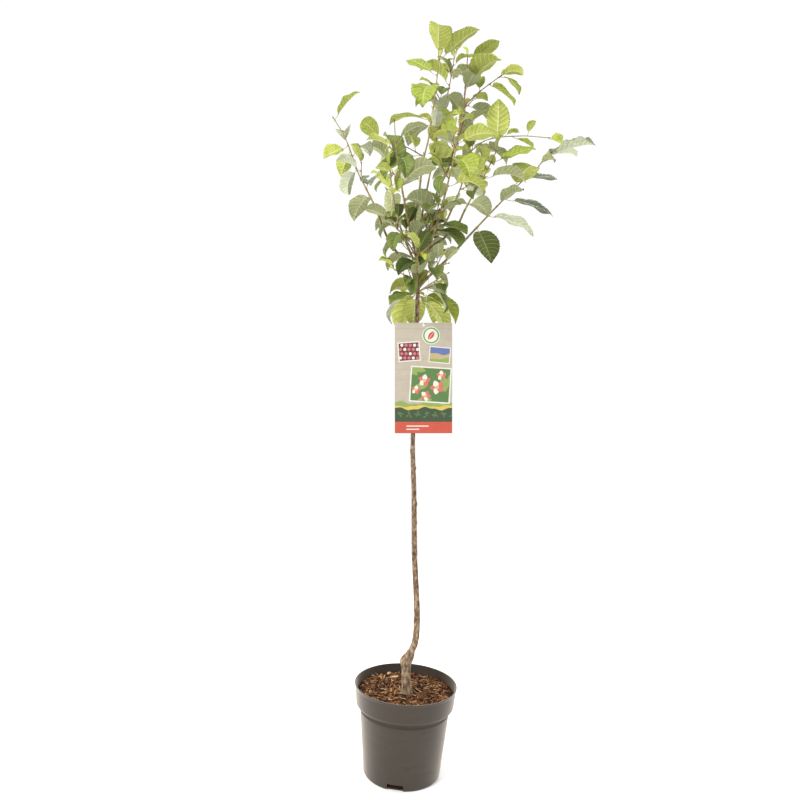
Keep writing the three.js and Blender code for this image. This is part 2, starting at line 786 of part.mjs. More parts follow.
// Stations along a shoot where a leaf or a twig can stand, with the turn of each round the shoot
function stationsOf(shoot) {
  const stations = [];
  const last = shoot.length - RULE.lastLeaf;
  for (let distance = shoot.step * RULE.firstLeaf; distance < last; distance += shoot.step) {
    stations.push({ distance, turn: shoot.phase + stations.length * RULE.turn, taken: false });
  }
  return stations;
}

// Short twigs of a stem, one at every few stations, each skipped where it would touch something
function growTwigs(stem, draw, balls, standing) {
  const twigs = [];
  const free = stem.stations.filter((station) => !station.taken);
  for (let i = 1; i < free.length - 1; i += RULE.twigEvery) {
    const station = free[i];
    const foot = placeOn(stem.line, station.distance);
    const turned = radians(station.turn + RULE.turnSpread * (draw() - 0.5));
    const aim = aimFrom(foot, turned, radians(between(RULE.lean, draw())));
    const length = between(RULE.twigLength, draw());
    const rise = Math.max(aim.rise, 0) + radians(RULE.twigLift);
    const tip = foot.point.clone();
    tip.x += length * Math.cos(rise) * Math.cos(aim.heading);
    tip.y += length * Math.cos(rise) * Math.sin(aim.heading);
    tip.z += length * Math.sin(rise);
    const middle = foot.point.clone().lerp(tip, 0.5);
    middle.z -= length * RULE.twigSag;
    const route = [foot.point, middle, tip].map((point) => point.toArray());
    const leaf = stem.leaf * RULE.twigLeaf;
    const twig = makeShoot(stem.mass, route, RULE.twigRadius, RULE.twigStep, leaf, false);
    const test = [placeOn(twig.line, length * 0.6).point, tip];
    if (clearOfBalls(test, balls, stem) && clearOfLabel(test) && clearOfBlades(test, standing)) {
      twig.phase = station.turn;
      twig.stations = stationsOf(twig);
      twigs.push(twig);
      station.taken = true;
      balls.push(...ballsAlong(twig.line, twig.foot, twig.tip, twig));
    }
  }
  return twigs;
}

// The leaves of a shoot, from its tip down
function growLeaves(draw, shoot, balls, standing) {
  const leaves = [];
  if (!shoot.tipTaken) {
    const size = shoot.leaf * RULE.tipSizes[1];
    leaves.push(growLeaf(draw, shoot, shoot.length - 1, shoot.phase + 90, size, true, balls, standing));
  }
  const last = shoot.stations.length - 1;
  for (let i = last; i >= 0; i -= 1) {
    const { distance, turn, taken } = shoot.stations[i];
    const size = shoot.leaf * (RULE.tipSizes[last - i] ?? 1);
    if (!taken) {
      leaves.push(growLeaf(draw, shoot, distance, turn, size, false, balls, standing));
    }
  }
  return leaves.filter((leaf) => leaf !== null);
}

// The balls that stand for the trunk and the boughs
function limbBalls() {
  const trunkLine = trunkCurve.getPoints(3 * SHOOT.points);
  const balls = ballsAlong(trunkLine, TRUNK_ROUTE[0][3], TRUNK_ROUTE.at(-1)[3], 'trunk');
  for (const bough of Object.values(BOUGHS)) {
    const line = smoothCurve(bough.route).getPoints(SHOOT.points);
    balls.push(...ballsAlong(line, bough.foot, bough.tip, 'bough'));
  }
  return balls;
}

// The stem and the long side twigs of each mass
function longShoots(name) {
  const mass = MASSES[name];
  const shoots = [makeShoot(name, mass.stem, mass.radius, mass.step, mass.leaf, true)];
  const radius = mass.radius * SIDE_TWIG.radius;
  const step = mass.step * SIDE_TWIG.step;
  const leaf = mass.leaf * SIDE_TWIG.leaf;
  for (const route of mass.twigs) {
    shoots.push(makeShoot(name, route, radius, step, leaf, false));
  }
  return shoots;
}

// The leaves of a mass that are set by measure
function setLeaves(shoots, poses, balls, standing) {
  const leaves = [];
  for (const pose of poses) {
    const shoot = shoots[pose.on ?? 0];
    const leaf = {
      foot: placeOn(shoot.line, pose.at).point,
      heading: radians(pose.heading),
      rise: radians(pose.rise),
      bend: radians(pose.bend),
      blade: pose.blade,
      petiole: pose.stalk,
      roll: radians(pose.roll),
      fold: radians(pose.fold),
    };
    if (standsClear(leaf, shoot, balls, standing)) {
      leaves.push(leaf);
    }
  }
  return leaves;
}

// One mass: its short twigs, then its leaves
function growMass(shoots, mass, seed, balls, standing) {
  const draw = seeded(seed);
  for (const [index, shoot] of shoots.entries()) {
    const held = mass.set.filter((pose) => (pose.on ?? 0) === index);
    const space = shoot.step * RULE.setSpace;
    const setNear = (distance) => held.some((pose) => Math.abs(pose.at - distance) < space);
    shoot.phase = 360 * draw();
    shoot.stations = stationsOf(shoot);
    for (const station of shoot.stations) {
      station.taken = setNear(station.distance);
    }
    shoot.tipTaken = setNear(shoot.length);
  }
  const all = shoots.concat(growTwigs(shoots[0], draw, balls, standing));
  const leaves = [];
  for (const shoot of all) {
    leaves.push(...growLeaves(draw, shoot, balls, standing));
  }
  return { shoots: all, leaves };
}

// The whole tree: the long shoots and the leaves set by measure first, then mass by mass
function growTree() {
  const balls = limbBalls();
  const standing = [];
  const shootsOf = {};
  for (const name of Object.keys(MASSES)) {
    shootsOf[name] = longShoots(name);
    for (const shoot of shootsOf[name]) {
      balls.push(...ballsAlong(shoot.line, shoot.foot, shoot.tip, shoot));
    }
  }
  const fixed = {};
  for (const [name, mass] of Object.entries(MASSES)) {
    fixed[name] = setLeaves(shootsOf[name], mass.set, balls, standing);
  }
  const grown = {};
  for (const [name, mass] of Object.entries(MASSES)) {
    const { shoots, leaves } = growMass(shootsOf[name], mass, mass.seed, balls, standing);
    grown[name] = { shoots, leaves: fixed[name].concat(leaves) };
  }
  return grown;
}

// A leaf: a ball of four sides drawn out along the stalk and the midrib, its blade folded up at both
// sides. The stalk starts inside the shoot. The stations are shares of the blade's length.
const LEAF_STATIONS = [0.24, 0.66, 1];

function leafSolid(leaf) {
  const rings = [-STALK.sunk, 0, leaf.petiole];
  rings.push(...LEAF_STATIONS.map((share) => leaf.petiole + share * leaf.blade));
  const segments = rings.length - 1;
  const geometry = new THREE.SphereGeometry(1, 4, segments);
  const positions = geometry.attributes.position;
  for (let i = 0; i < positions.count; i += 1) {
    const angle = Math.acos(Math.max(-1, Math.min(1, positions.getY(i))));
    const ring = Math.round((angle / Math.PI) * segments);
    const reach = ring === 0 || ring === segments ? 0 : 1 / Math.sin(angle);
    const share = Math.round(positions.getX(i) * reach);
    const lift = Math.round(positions.getZ(i) * reach);
    const onStalk = ring <= 2;
    const stalk = ring === 2 ? STALK.radius : STALK.footRadius;
    const rise = lift * (onStalk ? stalk : BLADE.thickness / 2);
    const point = leafPoint(leaf, rings[ring], onStalk ? 0 : share, rise);
    if (onStalk) {
      point.x -= share * stalk * Math.sin(leaf.heading);
      point.y += share * stalk * Math.cos(leaf.heading);
    }
    positions.setXYZ(i, point.x, point.y, point.z);
  }
  return solid(geometry);
}

// A mass: its shoots and leaves joined, less the limb that carries it
const SHOOT_STEP = 55;
const STEM_SIDES = 4;
const TWIG_SIDES = 3;

function massSolid(growth, from) {
  const pieces = [];
  for (const shoot of growth.shoots) {
    const curve = smoothCurve(shoot.route);
    const steps = Math.max(1, Math.round(shoot.length / SHOOT_STEP));
    const sides = shoot.isStem ? STEM_SIDES : TWIG_SIDES;
    pieces.push(limb(curve, taper(shoot.foot, shoot.tip), sides, steps));
  }
  for (const leaf of growth.leaves) {
    pieces.push(leafSolid(leaf));
  }
  let joined = pieces[0];
  for (const piece of pieces.slice(1)) {
    joined = joined.add(piece);
  }
  const holder = from === 'trunk' ? trunkSolid(GAP) : boughSolid(from, GAP);
  return largestPiece(joined.subtract(holder));
}

// The label: a thin card with a hole for its string
const labelTurn = radians(LABEL.turn);
const labelPlace = new THREE.Vector3(LABEL.x, LABEL.y, LABEL.z);

function labelSolid() {
  const card = new THREE.BoxGeometry(LABEL.width, LABEL.thickness, LABEL.height);
  const { radius, sides } = LABEL_HOLE;
  const hole = new THREE.CylinderGeometry(radius, radius, 4 * LABEL.thickness, sides);
  hole.translate(0, 0, LABEL.height / 2 - LABEL_HOLE.drop);
  return solid(card).subtract(solid(hole));
}

// The string: a loop through the label's hole and over the lowest bough on the right
function stringSolid() {
  const { foot, tip } = BOUGHS[STRING.bough];
  const tangent = stringCurve.getTangent(STRING.along);
  const reach = (taper(foot, tip)(STRING.along) + GAP) / Math.abs(tangent.x);
  const wide = reach * Math.hypot(tangent.x, tangent.y) + GAP + STRING.radius;
  const high = reach * Math.hypot(tangent.x, tangent.z) + GAP + STRING.radius;
  const holeTop = LABEL.height / 2 - LABEL_HOLE.drop + LABEL_HOLE.radius;
  const under = new THREE.Vector3(0, 0, holeTop - GAP - STRING.radius);
  under.applyAxisAngle(new THREE.Vector3(0, 1, 0), labelTurn).add(labelPlace);
  const points = [0, 45, 90, 135, 180].map((degrees) => {
    const turn = radians(degrees);
    return stringTop.clone().add(new THREE.Vector3(0, wide * Math.cos(turn), high * Math.sin(turn)));
  });
  for (const y of [-STRING.pinch, 0, STRING.pinch]) {
    const lift = y === 0 ? 0 : STRING.pinch;
    points.push(under.clone().add(new THREE.Vector3(0, y, lift)));
  }
  const loop = new THREE.CatmullRomCurve3(points, true, 'centripetal');
  const geometry = new THREE.TorusGeometry(1, 0.1, STRING.sides, STRING.steps);
  const positions = geometry.attributes.position;
  for (let i = 0; i < positions.count; i += 1) {
    const x = positions.getX(i);
    const y = positions.getY(i);
    const place = (Math.atan2(y, x) / (2 * Math.PI) + 1) % 1;
    const out = (Math.hypot(x, y) - 1) / 0.1;
    const aside = positions.getZ(i) / 0.1;
    const along = loop.getTangent(place);
    const outward = new THREE.Vector3(0, along.z, -along.y).normalize();
    const point = loop.getPoint(place);
    point.addScaledVector(outward, STRING.radius * out);
    point.x += STRING.radius * aside;
    positions.setXYZ(i, point.x, point.y, point.z);
  }
  return solid(geometry);
}

const part = new THREE.Group();

function place(name, made, colour, roughness) {
  const material = new THREE.MeshStandardMaterial({ color: colour, roughness, metalness: 0 });
  const mesh = new THREE.Mesh(geometryOf(made), material);
  mesh.name = name;
  part.add(mesh);
  return mesh;
}

place('pot', potSolid(), COLOURS.pot, 0.55);
place('soil', soilSolid(), COLOURS.soil, 0.95);
place('trunk', trunkSolid(), COLOURS.trunk, 0.85);
const trunkGrown = trunkSolid(GAP);
for (const name of Object.keys(BOUGHS)) {
  place(`bough_${name}`, largestPiece(boughSolid(name).subtract(trunkGrown)), COLOURS.bough, 0.7);
}
for (const [name, growth] of Object.entries(growTree())) {
  place(`foliage_${name}`, massSolid(growth, MASSES[name].from), COLOURS.leaf, 0.6);
}
const label = place('hanging_label', labelSolid(), COLOURS.label, 0.5);
label.position.copy(labelPlace);
label.rotation.y = labelTurn;
place('label_string', stringSolid(), COLOURS.string, 0.8);

export default part;
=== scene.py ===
"""A potted morello cherry: bark, soil, leaves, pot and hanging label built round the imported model.

The rule that grows twigs and leaves works in millimetres, and the meshes are made in metres.
"""

import bisect
import math

import bmesh
import bpy
import numpy as np
from mathutils import Matrix, Vector, noise


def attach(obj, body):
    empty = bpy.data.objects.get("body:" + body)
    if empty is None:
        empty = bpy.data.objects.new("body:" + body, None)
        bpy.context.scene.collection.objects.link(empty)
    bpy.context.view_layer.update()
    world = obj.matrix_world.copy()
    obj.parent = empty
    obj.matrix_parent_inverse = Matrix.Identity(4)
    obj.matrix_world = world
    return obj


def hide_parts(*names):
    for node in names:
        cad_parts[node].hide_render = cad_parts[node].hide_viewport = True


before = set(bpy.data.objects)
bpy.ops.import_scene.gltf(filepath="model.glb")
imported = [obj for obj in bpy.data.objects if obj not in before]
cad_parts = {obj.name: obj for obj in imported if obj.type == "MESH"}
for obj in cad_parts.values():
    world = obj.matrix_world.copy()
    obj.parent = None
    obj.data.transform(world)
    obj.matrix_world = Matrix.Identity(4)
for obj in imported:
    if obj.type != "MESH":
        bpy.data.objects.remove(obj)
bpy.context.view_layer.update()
MM = 0.001

# Camera, as it stood for the photo, in metres, with its roll in degrees
CAMERA = {"place": (-0.048, -1.591, 0.872), "roll": 2.95, "lens": 30.33, "sensor": 36.0}

# Trunk: centre line with the radius at each point
TRUNK_ROUTE = [
    (3, 0, 182.3, 13.2), (1, 0, 205, 10.8), (-1, 0, 232, 10.1), (-1, 1, 250, 12.2), (3, 1, 266, 13.4),
    (9, 2, 281, 9.6), (17, 2, 303, 7.8), (19, 3, 339, 7.6), (17, 4, 385, 7.3), (5, 1, 511, 6.6),
    (-4, -1, 659, 5.8), (-12, 0, 760, 5.4), (-16, 1, 921, 5.1), (-19, 0, 1119, 4.9),
    (-23, 0, 1215, 4.5), (-21, 0, 1262, 4.0),
]


def limb(foot, tip, *route):
    """A main bough: its radius at the foot and at the tip, and its centre line."""
    return {"foot": foot, "tip": tip, "route": route}


BOUGHS = {
    "left": limb(3.4, 2.3, (-23, 0, 1164), (-55, -8, 1199), (-93, -18, 1242), (-129, -32, 1317)),
    "right_low": limb(3.5, 2.4, (-19, 0, 1139), (18, 8, 1182), (50, 14, 1216), (112, 30, 1292)),
    "right_high": limb(
        3.2, 2.3, (-22, 0, 1210), (6, -12, 1234), (35, -20, 1254), (63, -28, 1282), (79, -34, 1318)
    ),
    "leader_left": limb(3.2, 2.5, (-23, 0, 1222), (-34, -12, 1268), (-35, -19, 1312), (-28, -24, 1362)),
    "leader_right": limb(
        3.8, 2.8, (-21, 0, 1258), (-17, 0, 1290), (1, 2, 1326), (17, 4, 1373), (37, 6, 1424)
    ),
    "leader_rear": limb(
        2.8, 2.0, (-22, 0, 1238), (-21, 14, 1280), (-15, 22, 1341), (-8, 32, 1390), (5, 46, 1486)
    ),
    "front_left": limb(3.0, 2.1, (-21, 0, 1190), (-36, -38, 1232), (-52, -82, 1279), (-66, -122, 1326)),
    "front_right": limb(3.0, 2.1, (-20, 0, 1172), (0, -40, 1226), (17, -84, 1280), (28, -124, 1330)),
    "rear_left": limb(3.2, 2.1, (-20, 0, 1178), (-42, 50, 1233), (-65, 110, 1296), (-84, 160, 1364)),
    "rear_right": limb(3.2, 2.1, (-22, 0, 1198), (10, 45, 1249), (44, 95, 1323), (69, 140, 1392)),
}


def spray(radius, leaf, step, seed, tones, stem, twigs=(), leaves=()):
    """A mass of foliage: radius of its stem, usual length of its leaves, step between them, seed of its
    rule, tones of its leaves, routes of its stem and its long side twigs, and the leaves set by measure.

    A leaf set by measure has the number of its shoot, the place along it, heading, rise, bend, lengths of
    blade and stalk, roll, fold and tone.
    """
    return {
        "radius": radius,
        "leaf": leaf,
        "step": step,
        "seed": seed,
        "tones": tones,
        "stem": stem,
        "twigs": twigs,
        "set": leaves,
    }


MASSES = {
    "left": spray(
        2.1, 76, 26, 13, ("bright", "grey"),
        [(-129, -32, 1317), (-154, -40, 1359), (-172, -48, 1390), (-202, -58, 1459), (-231, -66, 1501)],
        leaves=[
            (0, 210, -30, 50, 25, 70, 15, 25, 10, "bright"),
            (0, 135, 110, -20, 15, 70, 15, 5, 10, "young"),
            (0, 145, 140, -5, 10, 60, 20, 15, 10, "young"),
            (0, 90, 125, -15, 100, 60, 15, 0, 25, "grey"),
            (0, 25, 120, 0, 60, 85, 10, 0, 15, "mid"),
        ],
    ),
    "right_low": spray(
        2.2, 86, 30, 94, ("mid", "bright", "grey"),
        [(112, 30, 1292), (163, 40, 1353), (218, 50, 1415), (253, 56, 1449), (279, 60, 1490)],
        leaves=[
            (0, 5, 60, -25, 15, 105, 15, -5, 25, "deep"),
            (0, 45, 0, -5, 30, 110, 15, 0, 10, "grey"),
            (0, 105, 5, -5, 20, 105, 25, 35, 10, "grey"),
            (0, 135, -80, 20, 25, 100, 30, -10, 5, "bright"),
            (0, 180, 30, 20, 20, 90, 20, 35, 5, "grey"),
            (0, 255, 25, 25, 25, 90, 15, 20, 25, "grey"),
            (0, 260, -30, 10, 10, 95, 25, 20, 20, "grey"),
        ],
    ),
    "right_high": spray(
        2.1, 80, 22, 69, ("bright", "mid"),
        [(79, -34, 1318), (96, -38, 1353), (118, -44, 1395), (140, -50, 1445), (143, -53, 1468)],
        leaves=[
            (0, 160, -90, 80, 10, 85, 15, 0, 5, "bright"),
            (0, 120, 0, 25, 10, 85, 25, 40, 10, "bright"),
        ],
    ),
    "leader_left": spray(
        2.3, 82, 33, 83, ("bright", "mid", "grey"),
        [
            (-28, -24, 1362), (-23, -32, 1427), (-14, -36, 1473), (-9, -39, 1520), (-3, -42, 1585),
            (1, -44, 1660),
        ],
        twigs=[
            [(-25, -33, 1438), (-69, -48, 1453), (-128, -62, 1461)],
        ],
        leaves=[
            (0, 295, -95, 15, 15, 95, 30, -20, 10, "bright"),
            (0, 295, -35, 30, 15, 95, 20, 10, 10, "bright"),
            (0, 260, 145, 40, 15, 85, 25, -35, 10, "bright"),
            (0, 230, -110, -15, 65, 105, 35, -10, 5, "bright"),
            (0, 160, 150, 20, 40, 90, 30, -15, 15, "bright"),
            (0, 150, 135, 0, 50, 75, 10, 0, 10, "mid"),
            (0, 80, -170, -10, 70, 90, 30, -40, 20, "mid"),
            (0, 50, -15, 15, 40, 95, 20, 0, 15, "deep"),
            (1, 105, -130, 30, 30, 60, 10, 50, 15, "young"),
        ],
    ),
    "leader_right": spray(
        2.6, 76, 33, 26, ("bright", "mid"),
        [(37, 6, 1424), (53, 8, 1485), (67, 8, 1538), (68, 6, 1606), (70, 4, 1696)],
        twigs=[
            [(43, 7, 1446), (78, 0, 1458), (125, -10, 1492), (200, -20, 1501), (266, -28, 1497)],
            [(67, 7, 1576), (107, -4, 1611), (148, -12, 1642)],
        ],
        leaves=[
            (0, 200, -55, 25, 35, 105, 20, 0, 5, "bright"),
            (0, 245, -45, 25, 10, 75, 25, 0, 5, "bright"),
            (1, 135, -15, 35, 60, 30, 10, -15, 20, "young"),
            (1, 155, 15, -15, 10, 45, 15, 10, 10, "young"),
            (1, 190, -70, 65, 70, 35, 10, 0, 10, "young"),
            (1, 235, 0, -15, 20, 30, 10, 0, 20, "young"),
            (2, 75, 35, -5, 20, 80, 10, 45, 20, "young"),
            (2, 100, -15, 30, 70, 50, 15, -30, 20, "bright"),
            (2, 105, 45, 15, 60, 70, 20, 30, 10, "young"),
        ],
    ),
    "leader_rear": spray(
        1.9, 78, 25, 37, ("mid", "bright"),
        [(5, 46, 1486), (13, 54, 1555), (25, 60, 1607), (34, 63, 1651), (42, 66, 1719)],
    ),
    "front_left": spray(
        1.9, 76, 18, 103, ("bright", "grey", "mid"),
        [(-66, -122, 1326), (-77, -155, 1368), (-85, -182, 1410), (-89, -200, 1446)],
    ),
    "front_right": spray(
        1.9, 76, 18, 7, ("mid", "grey", "bright"),
        [(28, -124, 1330), (37, -156, 1374), (44, -184, 1420), (47, -204, 1462)],
    ),
    "rear_left": spray(
        1.9, 82, 24, 21, ("mid", "bright"),
        [(-84, 160, 1364), (-98, 200, 1434), (-107, 228, 1496), (-116, 245, 1550)],
    ),
    "rear_right": spray(
        1.9, 82, 24, 114, ("mid", "grey", "bright"),
        [(69, 140, 1392), (90, 180, 1463), (106, 210, 1527), (116, 235, 1586)],
    ),
    "low": spray(
        2.2, 94, 4, 51, ("bright", "grey"),
        [(-19, 0, 1116), (-20, 14, 1129), (-20, 26, 1134)],
        leaves=[
            (0, 30, -150, 20, 70, 70, 15, 35, 15, "bright"),
            (0, 20, -140, -20, 10, 75, 15, -15, 15, "mid"),
            (0, 30, 115, -20, 80, 105, 25, -5, 30, "bright"),
            (0, 25, 160, -20, 85, 85, 30, -15, 10, "grey"),
            (0, 30, 25, 25, 75, 65, 20, -15, 20, "grey"),
            (0, 30, 0, -20, 40, 100, 25, 35, 20, "bright"),
            (0, 10, 35, -25, 45, 100, 30, 0, 5, "bright"),
        ],
    ),
    "spur_left": spray(
        1.8, 66, 11, 52, ("mid", "bright"), [(-20, 0, 1148), (-48, -12, 1162), (-74, -18, 1174)]
    ),
    "spur_right": spray(
        1.8, 66, 11, 7, ("mid", "grey"), [(-19, 0, 1158), (14, -14, 1184), (48, -20, 1196)]
    ),
    # Sprays inside the crown: most take the deep tone, a darker green that is partly painted shade
    "inner_left": spray(
        1.8, 72, 12, 76, ("deep", "mid"), [(-22, 0, 1202), (-52, -20, 1244), (-92, -40, 1286)]
    ),
    "inner_right": spray(
        1.8, 74, 12, 72, ("deep", "mid"), [(-22, 0, 1222), (4, -30, 1276), (20, -56, 1330)]
    ),
    "inner_front": spray(
        1.8, 70, 12, 77, ("mid", "deep"), [(-21, 0, 1150), (-24, -44, 1176), (-27, -88, 1206)]
    ),
    "inner_rear": spray(
        1.8, 74, 12, 23, ("deep", "mid"), [(-22, 0, 1226), (-34, 40, 1268), (-42, 76, 1320)]
    ),
    "inner_low": spray(
        1.8, 76, 12, 30, ("mid", "bright"), [(-19, 0, 1128), (12, -36, 1146), (46, -68, 1164)]
    ),
}

LABEL = {"width": 135, "height": 260, "thickness": 0.9, "x": 4.5, "y": -7, "z": 926.5, "turn": -2.95}
LABEL_HOLE = {"radius": 2.6, "drop": 6}
HALF_X = LABEL["width"] / 2
HALF_Y = LABEL["height"] / 2
STRING = {"bough": "right_low", "along": 0.22, "radius": 0.36, "apart": 0.34, "turns": 70 / 3, "sides": 6}

# How shoots branch and leaves stand on them: angles in degrees, lengths in millimetres
RULE = {
    "turn": 144,
    "turn_spread": 36,
    "turn_widen": 26,
    "lean": (42, 68),
    "tip_lean": (8, 24),
    "lowest_rise": -22,
    "bend": (28, 96),
    "tip_bend": (20, 52),
    "roll": 62,
    "fold": (9, 30),
    "size": (0.8, 1.12),
    "tip_sizes": (0.62, 0.74, 0.88),
    "petiole": (0.2, 0.32),
    "width": 0.3,
    "twig_every": 3,
    "twig_length": (16, 46),
    "twig_step": 11,
    "twig_radius": 1.3,
    "twig_lift": 12,
    "twig_sag": 0.06,
    "twig_test": 0.6,
    "first_leaf": 0.6,
    "last_leaf": 4,
    "set_space": 0.45,
    "twig_leaf": 0.85,
    "tries": 12,
}
SHOOT = {"points": 24, "tip_share": 0.45, "tip_radius": 0.9}
SIDE_TWIG = {"radius": 0.6, "step": 0.9, "leaf": 0.82}
BLADE = {"skew": 1.08, "plump": 0.72, "point": 7, "pointed": 0.35}

# Distances that leaves and twigs keep, in millimetres
CLEAR = {
    "limb": 5,
    "own_shoot": 2.5,
    "other_leaf": 10,
    "own_leaf": 8,
    "label": 6,
    "string": 9,
    "over": 14,
    "ball": 6,
    "far": 150,
}
# Test points of a leaf: places along its blade, shares of its half width there, the number of the one in
# the middle, and places along its stalk
BLADE_ROWS = (0.08, 0.22, 0.36, 0.5, 0.64, 0.78, 0.9)
BLADE_SHARES = (-0.9, -0.45, 0, 0.45, 0.9)
BLADE_MIDDLE = len(BLADE_ROWS) * len(BLADE_SHARES) // 2
STALK_PLACES = (0.5, 1)


# Lehmer's rule for numbers that look random, with the spread and shift that turn a seed into its start
DRAW = {"modulus": 2147483647, "factor": 16807, "spread": 7919, "shift": 12345}
# Share of a direction along Y above which Z is used to find what lies across it
STEEP = 0.8


def seeded(seed):
    """Numbers from 0 to 1 that are the same each time for the same seed."""
    state = (seed * DRAW["spread"] + DRAW["shift"]) % DRAW["modulus"]

    def draw():
        nonlocal state
        state = (state * DRAW["factor"]) % DRAW["modulus"]
        return state / DRAW["modulus"]

    return draw


def between(ends, share):
    return ends[0] + (ends[1] - ends[0]) * share


def unit(vector):
    return vector / np.linalg.norm(vector)


def curve_point(route, t):
    """Point on the smooth curve through a route, t from 0 to 1."""
    points = np.array(route, float)[:, :3]
    place = (len(points) - 1) * t
    lower = min(math.floor(place), len(points) - 2)
    share = place - lower
    before = points[lower - 1] if lower > 0 else 2 * points[0] - points[1]
    start = points[lower]
    end = points[lower + 1]
    after = points[lower + 2] if lower + 2 < len(points) else 2 * points[-1] - points[-2]
    leave = (end - before) / 2
    reach = (after - start) / 2
    square = 3 * (end - start) - 2 * leave - reach
    cube = 2 * (start - end) + leave + reach
    return start + leave * share + square * share**2 + cube * share**3


def curve_line(route, count):
    return np.array([curve_point(route, i / count) for i in range(count + 1)])


def place_on(line, distance):
    """Place and direction at a distance along a line of points."""
    left = max(0, distance)
    last = len(line) - 2
    for i in range(last + 1):
        step = line[i + 1] - line[i]
        length = np.linalg.norm(step)
        if left <= length or i == last:
            tangent = step / length
            return line[i] + tangent * min(left, length), tangent
        left -= length


def length_of(line):
    return float(np.linalg.norm(np.diff(line, axis=0), axis=1).sum())


def across(tangent):
    """Two directions across a line that runs along a tangent."""
    reference = np.array([0.0, 1, 0]) if abs(tangent[1]) < STEEP else np.array([0.0, 0, 1])
    side = unit(np.cross(tangent, reference))
    other = unit(np.cross(side, tangent))
    return side, other


class Balls:
    """Balls along the limbs and shoots, which stand for them in the tests of clearance."""

    def __init__(self):
        self.centres = np.zeros((0, 3))
        self.radii = np.zeros(0)
        self.owners = np.zeros(0, int)

    def add(self, line, foot, tip, owner):
        length = length_of(line)
        count = math.ceil(length / CLEAR["ball"])
        points = [place_on(line, length * i / count)[0] for i in range(count + 1)]
        radii = foot + (tip - foot) * np.arange(count + 1) / count
        self.centres = np.vstack([self.centres, points])
        self.radii = np.concatenate([self.radii, radii])
        self.owners = np.concatenate([self.owners, np.full(count + 1, owner)])

    def keep_off(self, points, own, ease):
        margins = np.where(self.owners == own, CLEAR["own_shoot"], CLEAR["limb"]) * ease
        apart = np.linalg.norm(points[:, None] - self.centres[None], axis=2)
        return bool((apart >= self.radii + margins).all())


class Standing:
    """The leaves that stand already: test points of their blades and stalks, by mass."""

    def __init__(self):
        self.blades = np.zeros((0, len(BLADE_ROWS) * len(BLADE_SHARES) + 1, 3))
        self.stalks = np.zeros((0, len(STALK_PLACES), 3))
        self.masses = np.zeros(0, int)

    def add(self, blade, stalk, mass):
        self.blades = np.vstack([self.blades, blade[None]])
        self.stalks = np.vstack([self.stalks, stalk[None]])
        self.masses = np.append(self.masses, mass)

    def keep_off(self, blade, stalk, mass, ease):
        middles = self.blades[:, BLADE_MIDDLE]
        near = np.linalg.norm(middles - blade[BLADE_MIDDLE], axis=1) < CLEAR["far"]
        own = near & (self.masses == mass)
        other = near & (self.masses != mass)
        if own.any():
            held = self.blades[own].reshape(-1, 3)
            if nearest(blade, held) < CLEAR["own_leaf"] * ease:
                return False
        if other.any():
            held = np.concatenate([self.blades[other], self.stalks[other]], axis=1).reshape(-1, 3)
            if nearest(np.vstack([blade, stalk]), held) < CLEAR["other_leaf"] * ease:
                return False
        return True


def nearest(points, held):
    return float(np.linalg.norm(points[:, None] - held[None], axis=2).min())


def make_shoot(mass, route, foot, step, leaf, is_stem):
    """A shoot: its line, its radii, the distance between its leaves and their usual length."""
    line = curve_line(route, SHOOT["points"])
    make_shoot.count += 1
    return {
        "key": make_shoot.count,
        "mass": mass,
        "route": route,
        "line": line,
        "length": length_of(line),
        "foot": foot,
        "tip": max(SHOOT["tip_radius"], foot * SHOOT["tip_share"]),
        "step": step,
        "leaf": leaf,
        "is_stem": is_stem,
    }


make_shoot.count = 0


def aim_from(tangent, turn, lean):
    """Aim of a leaf or twig that leaves a shoot: heading and rise."""
    side, other = across(tangent)
    out = side * math.cos(turn) + other * math.sin(turn)
    aim = tangent * math.cos(lean) + out * math.sin(lean)
    return math.atan2(aim[1], aim[0]), math.asin(max(-1, min(1, aim[2])))


def leaf_width(place):
    """Half width of a leaf along its blade, as a share of the greatest."""
    place = np.clip(place, 0, 1)
    bulge = np.maximum(0, np.sin(np.pi * place ** BLADE["skew"])) ** BLADE["plump"]
    point = np.minimum(1, (1 - place) * BLADE["point"]) ** BLADE["pointed"]
    return bulge * point


def leaf_point(leaf, distance, share, lift, swing=0.0):
    """Points of a leaf along its midrib: a straight stalk, then a blade that bends down."""
    distance, share, lift, swing = np.broadcast_arrays(distance, share, lift, swing)
    heading = leaf["heading"]
    level = np.array([math.cos(heading), math.sin(heading), 0])
    up = np.array([0.0, 0, 1])
    side = np.array([-math.sin(heading), math.cos(heading), 0])
    on_stalk = np.minimum(distance, leaf["petiole"])
    on_blade = distance - on_stalk
    curl = -leaf["bend"] / leaf["blade"]
    rise = leaf["rise"] + curl * on_blade
    along = on_stalk * math.cos(leaf["rise"]) + (np.sin(rise) - math.sin(leaf["rise"])) / curl
    height = on_stalk * math.sin(leaf["rise"]) + (math.cos(leaf["rise"]) - np.cos(rise)) / curl
    normal = -level * np.sin(rise)[..., None] + up * np.cos(rise)[..., None]
    cos = math.cos(leaf["roll"])
    sin = math.sin(leaf["roll"])
    turned_side = side * cos + normal * sin
    turned_normal = normal * cos - side * sin
    width = leaf["blade"] * RULE["width"] * leaf_width(on_blade / leaf["blade"])
    spread = share * width * math.cos(leaf["fold"]) + swing
    raised = np.abs(share) * width * math.sin(leaf["fold"]) + lift
    point = leaf["foot"] + level * along[..., None] + up * height[..., None]
    return point + turned_side * spread[..., None] + turned_normal * raised[..., None]


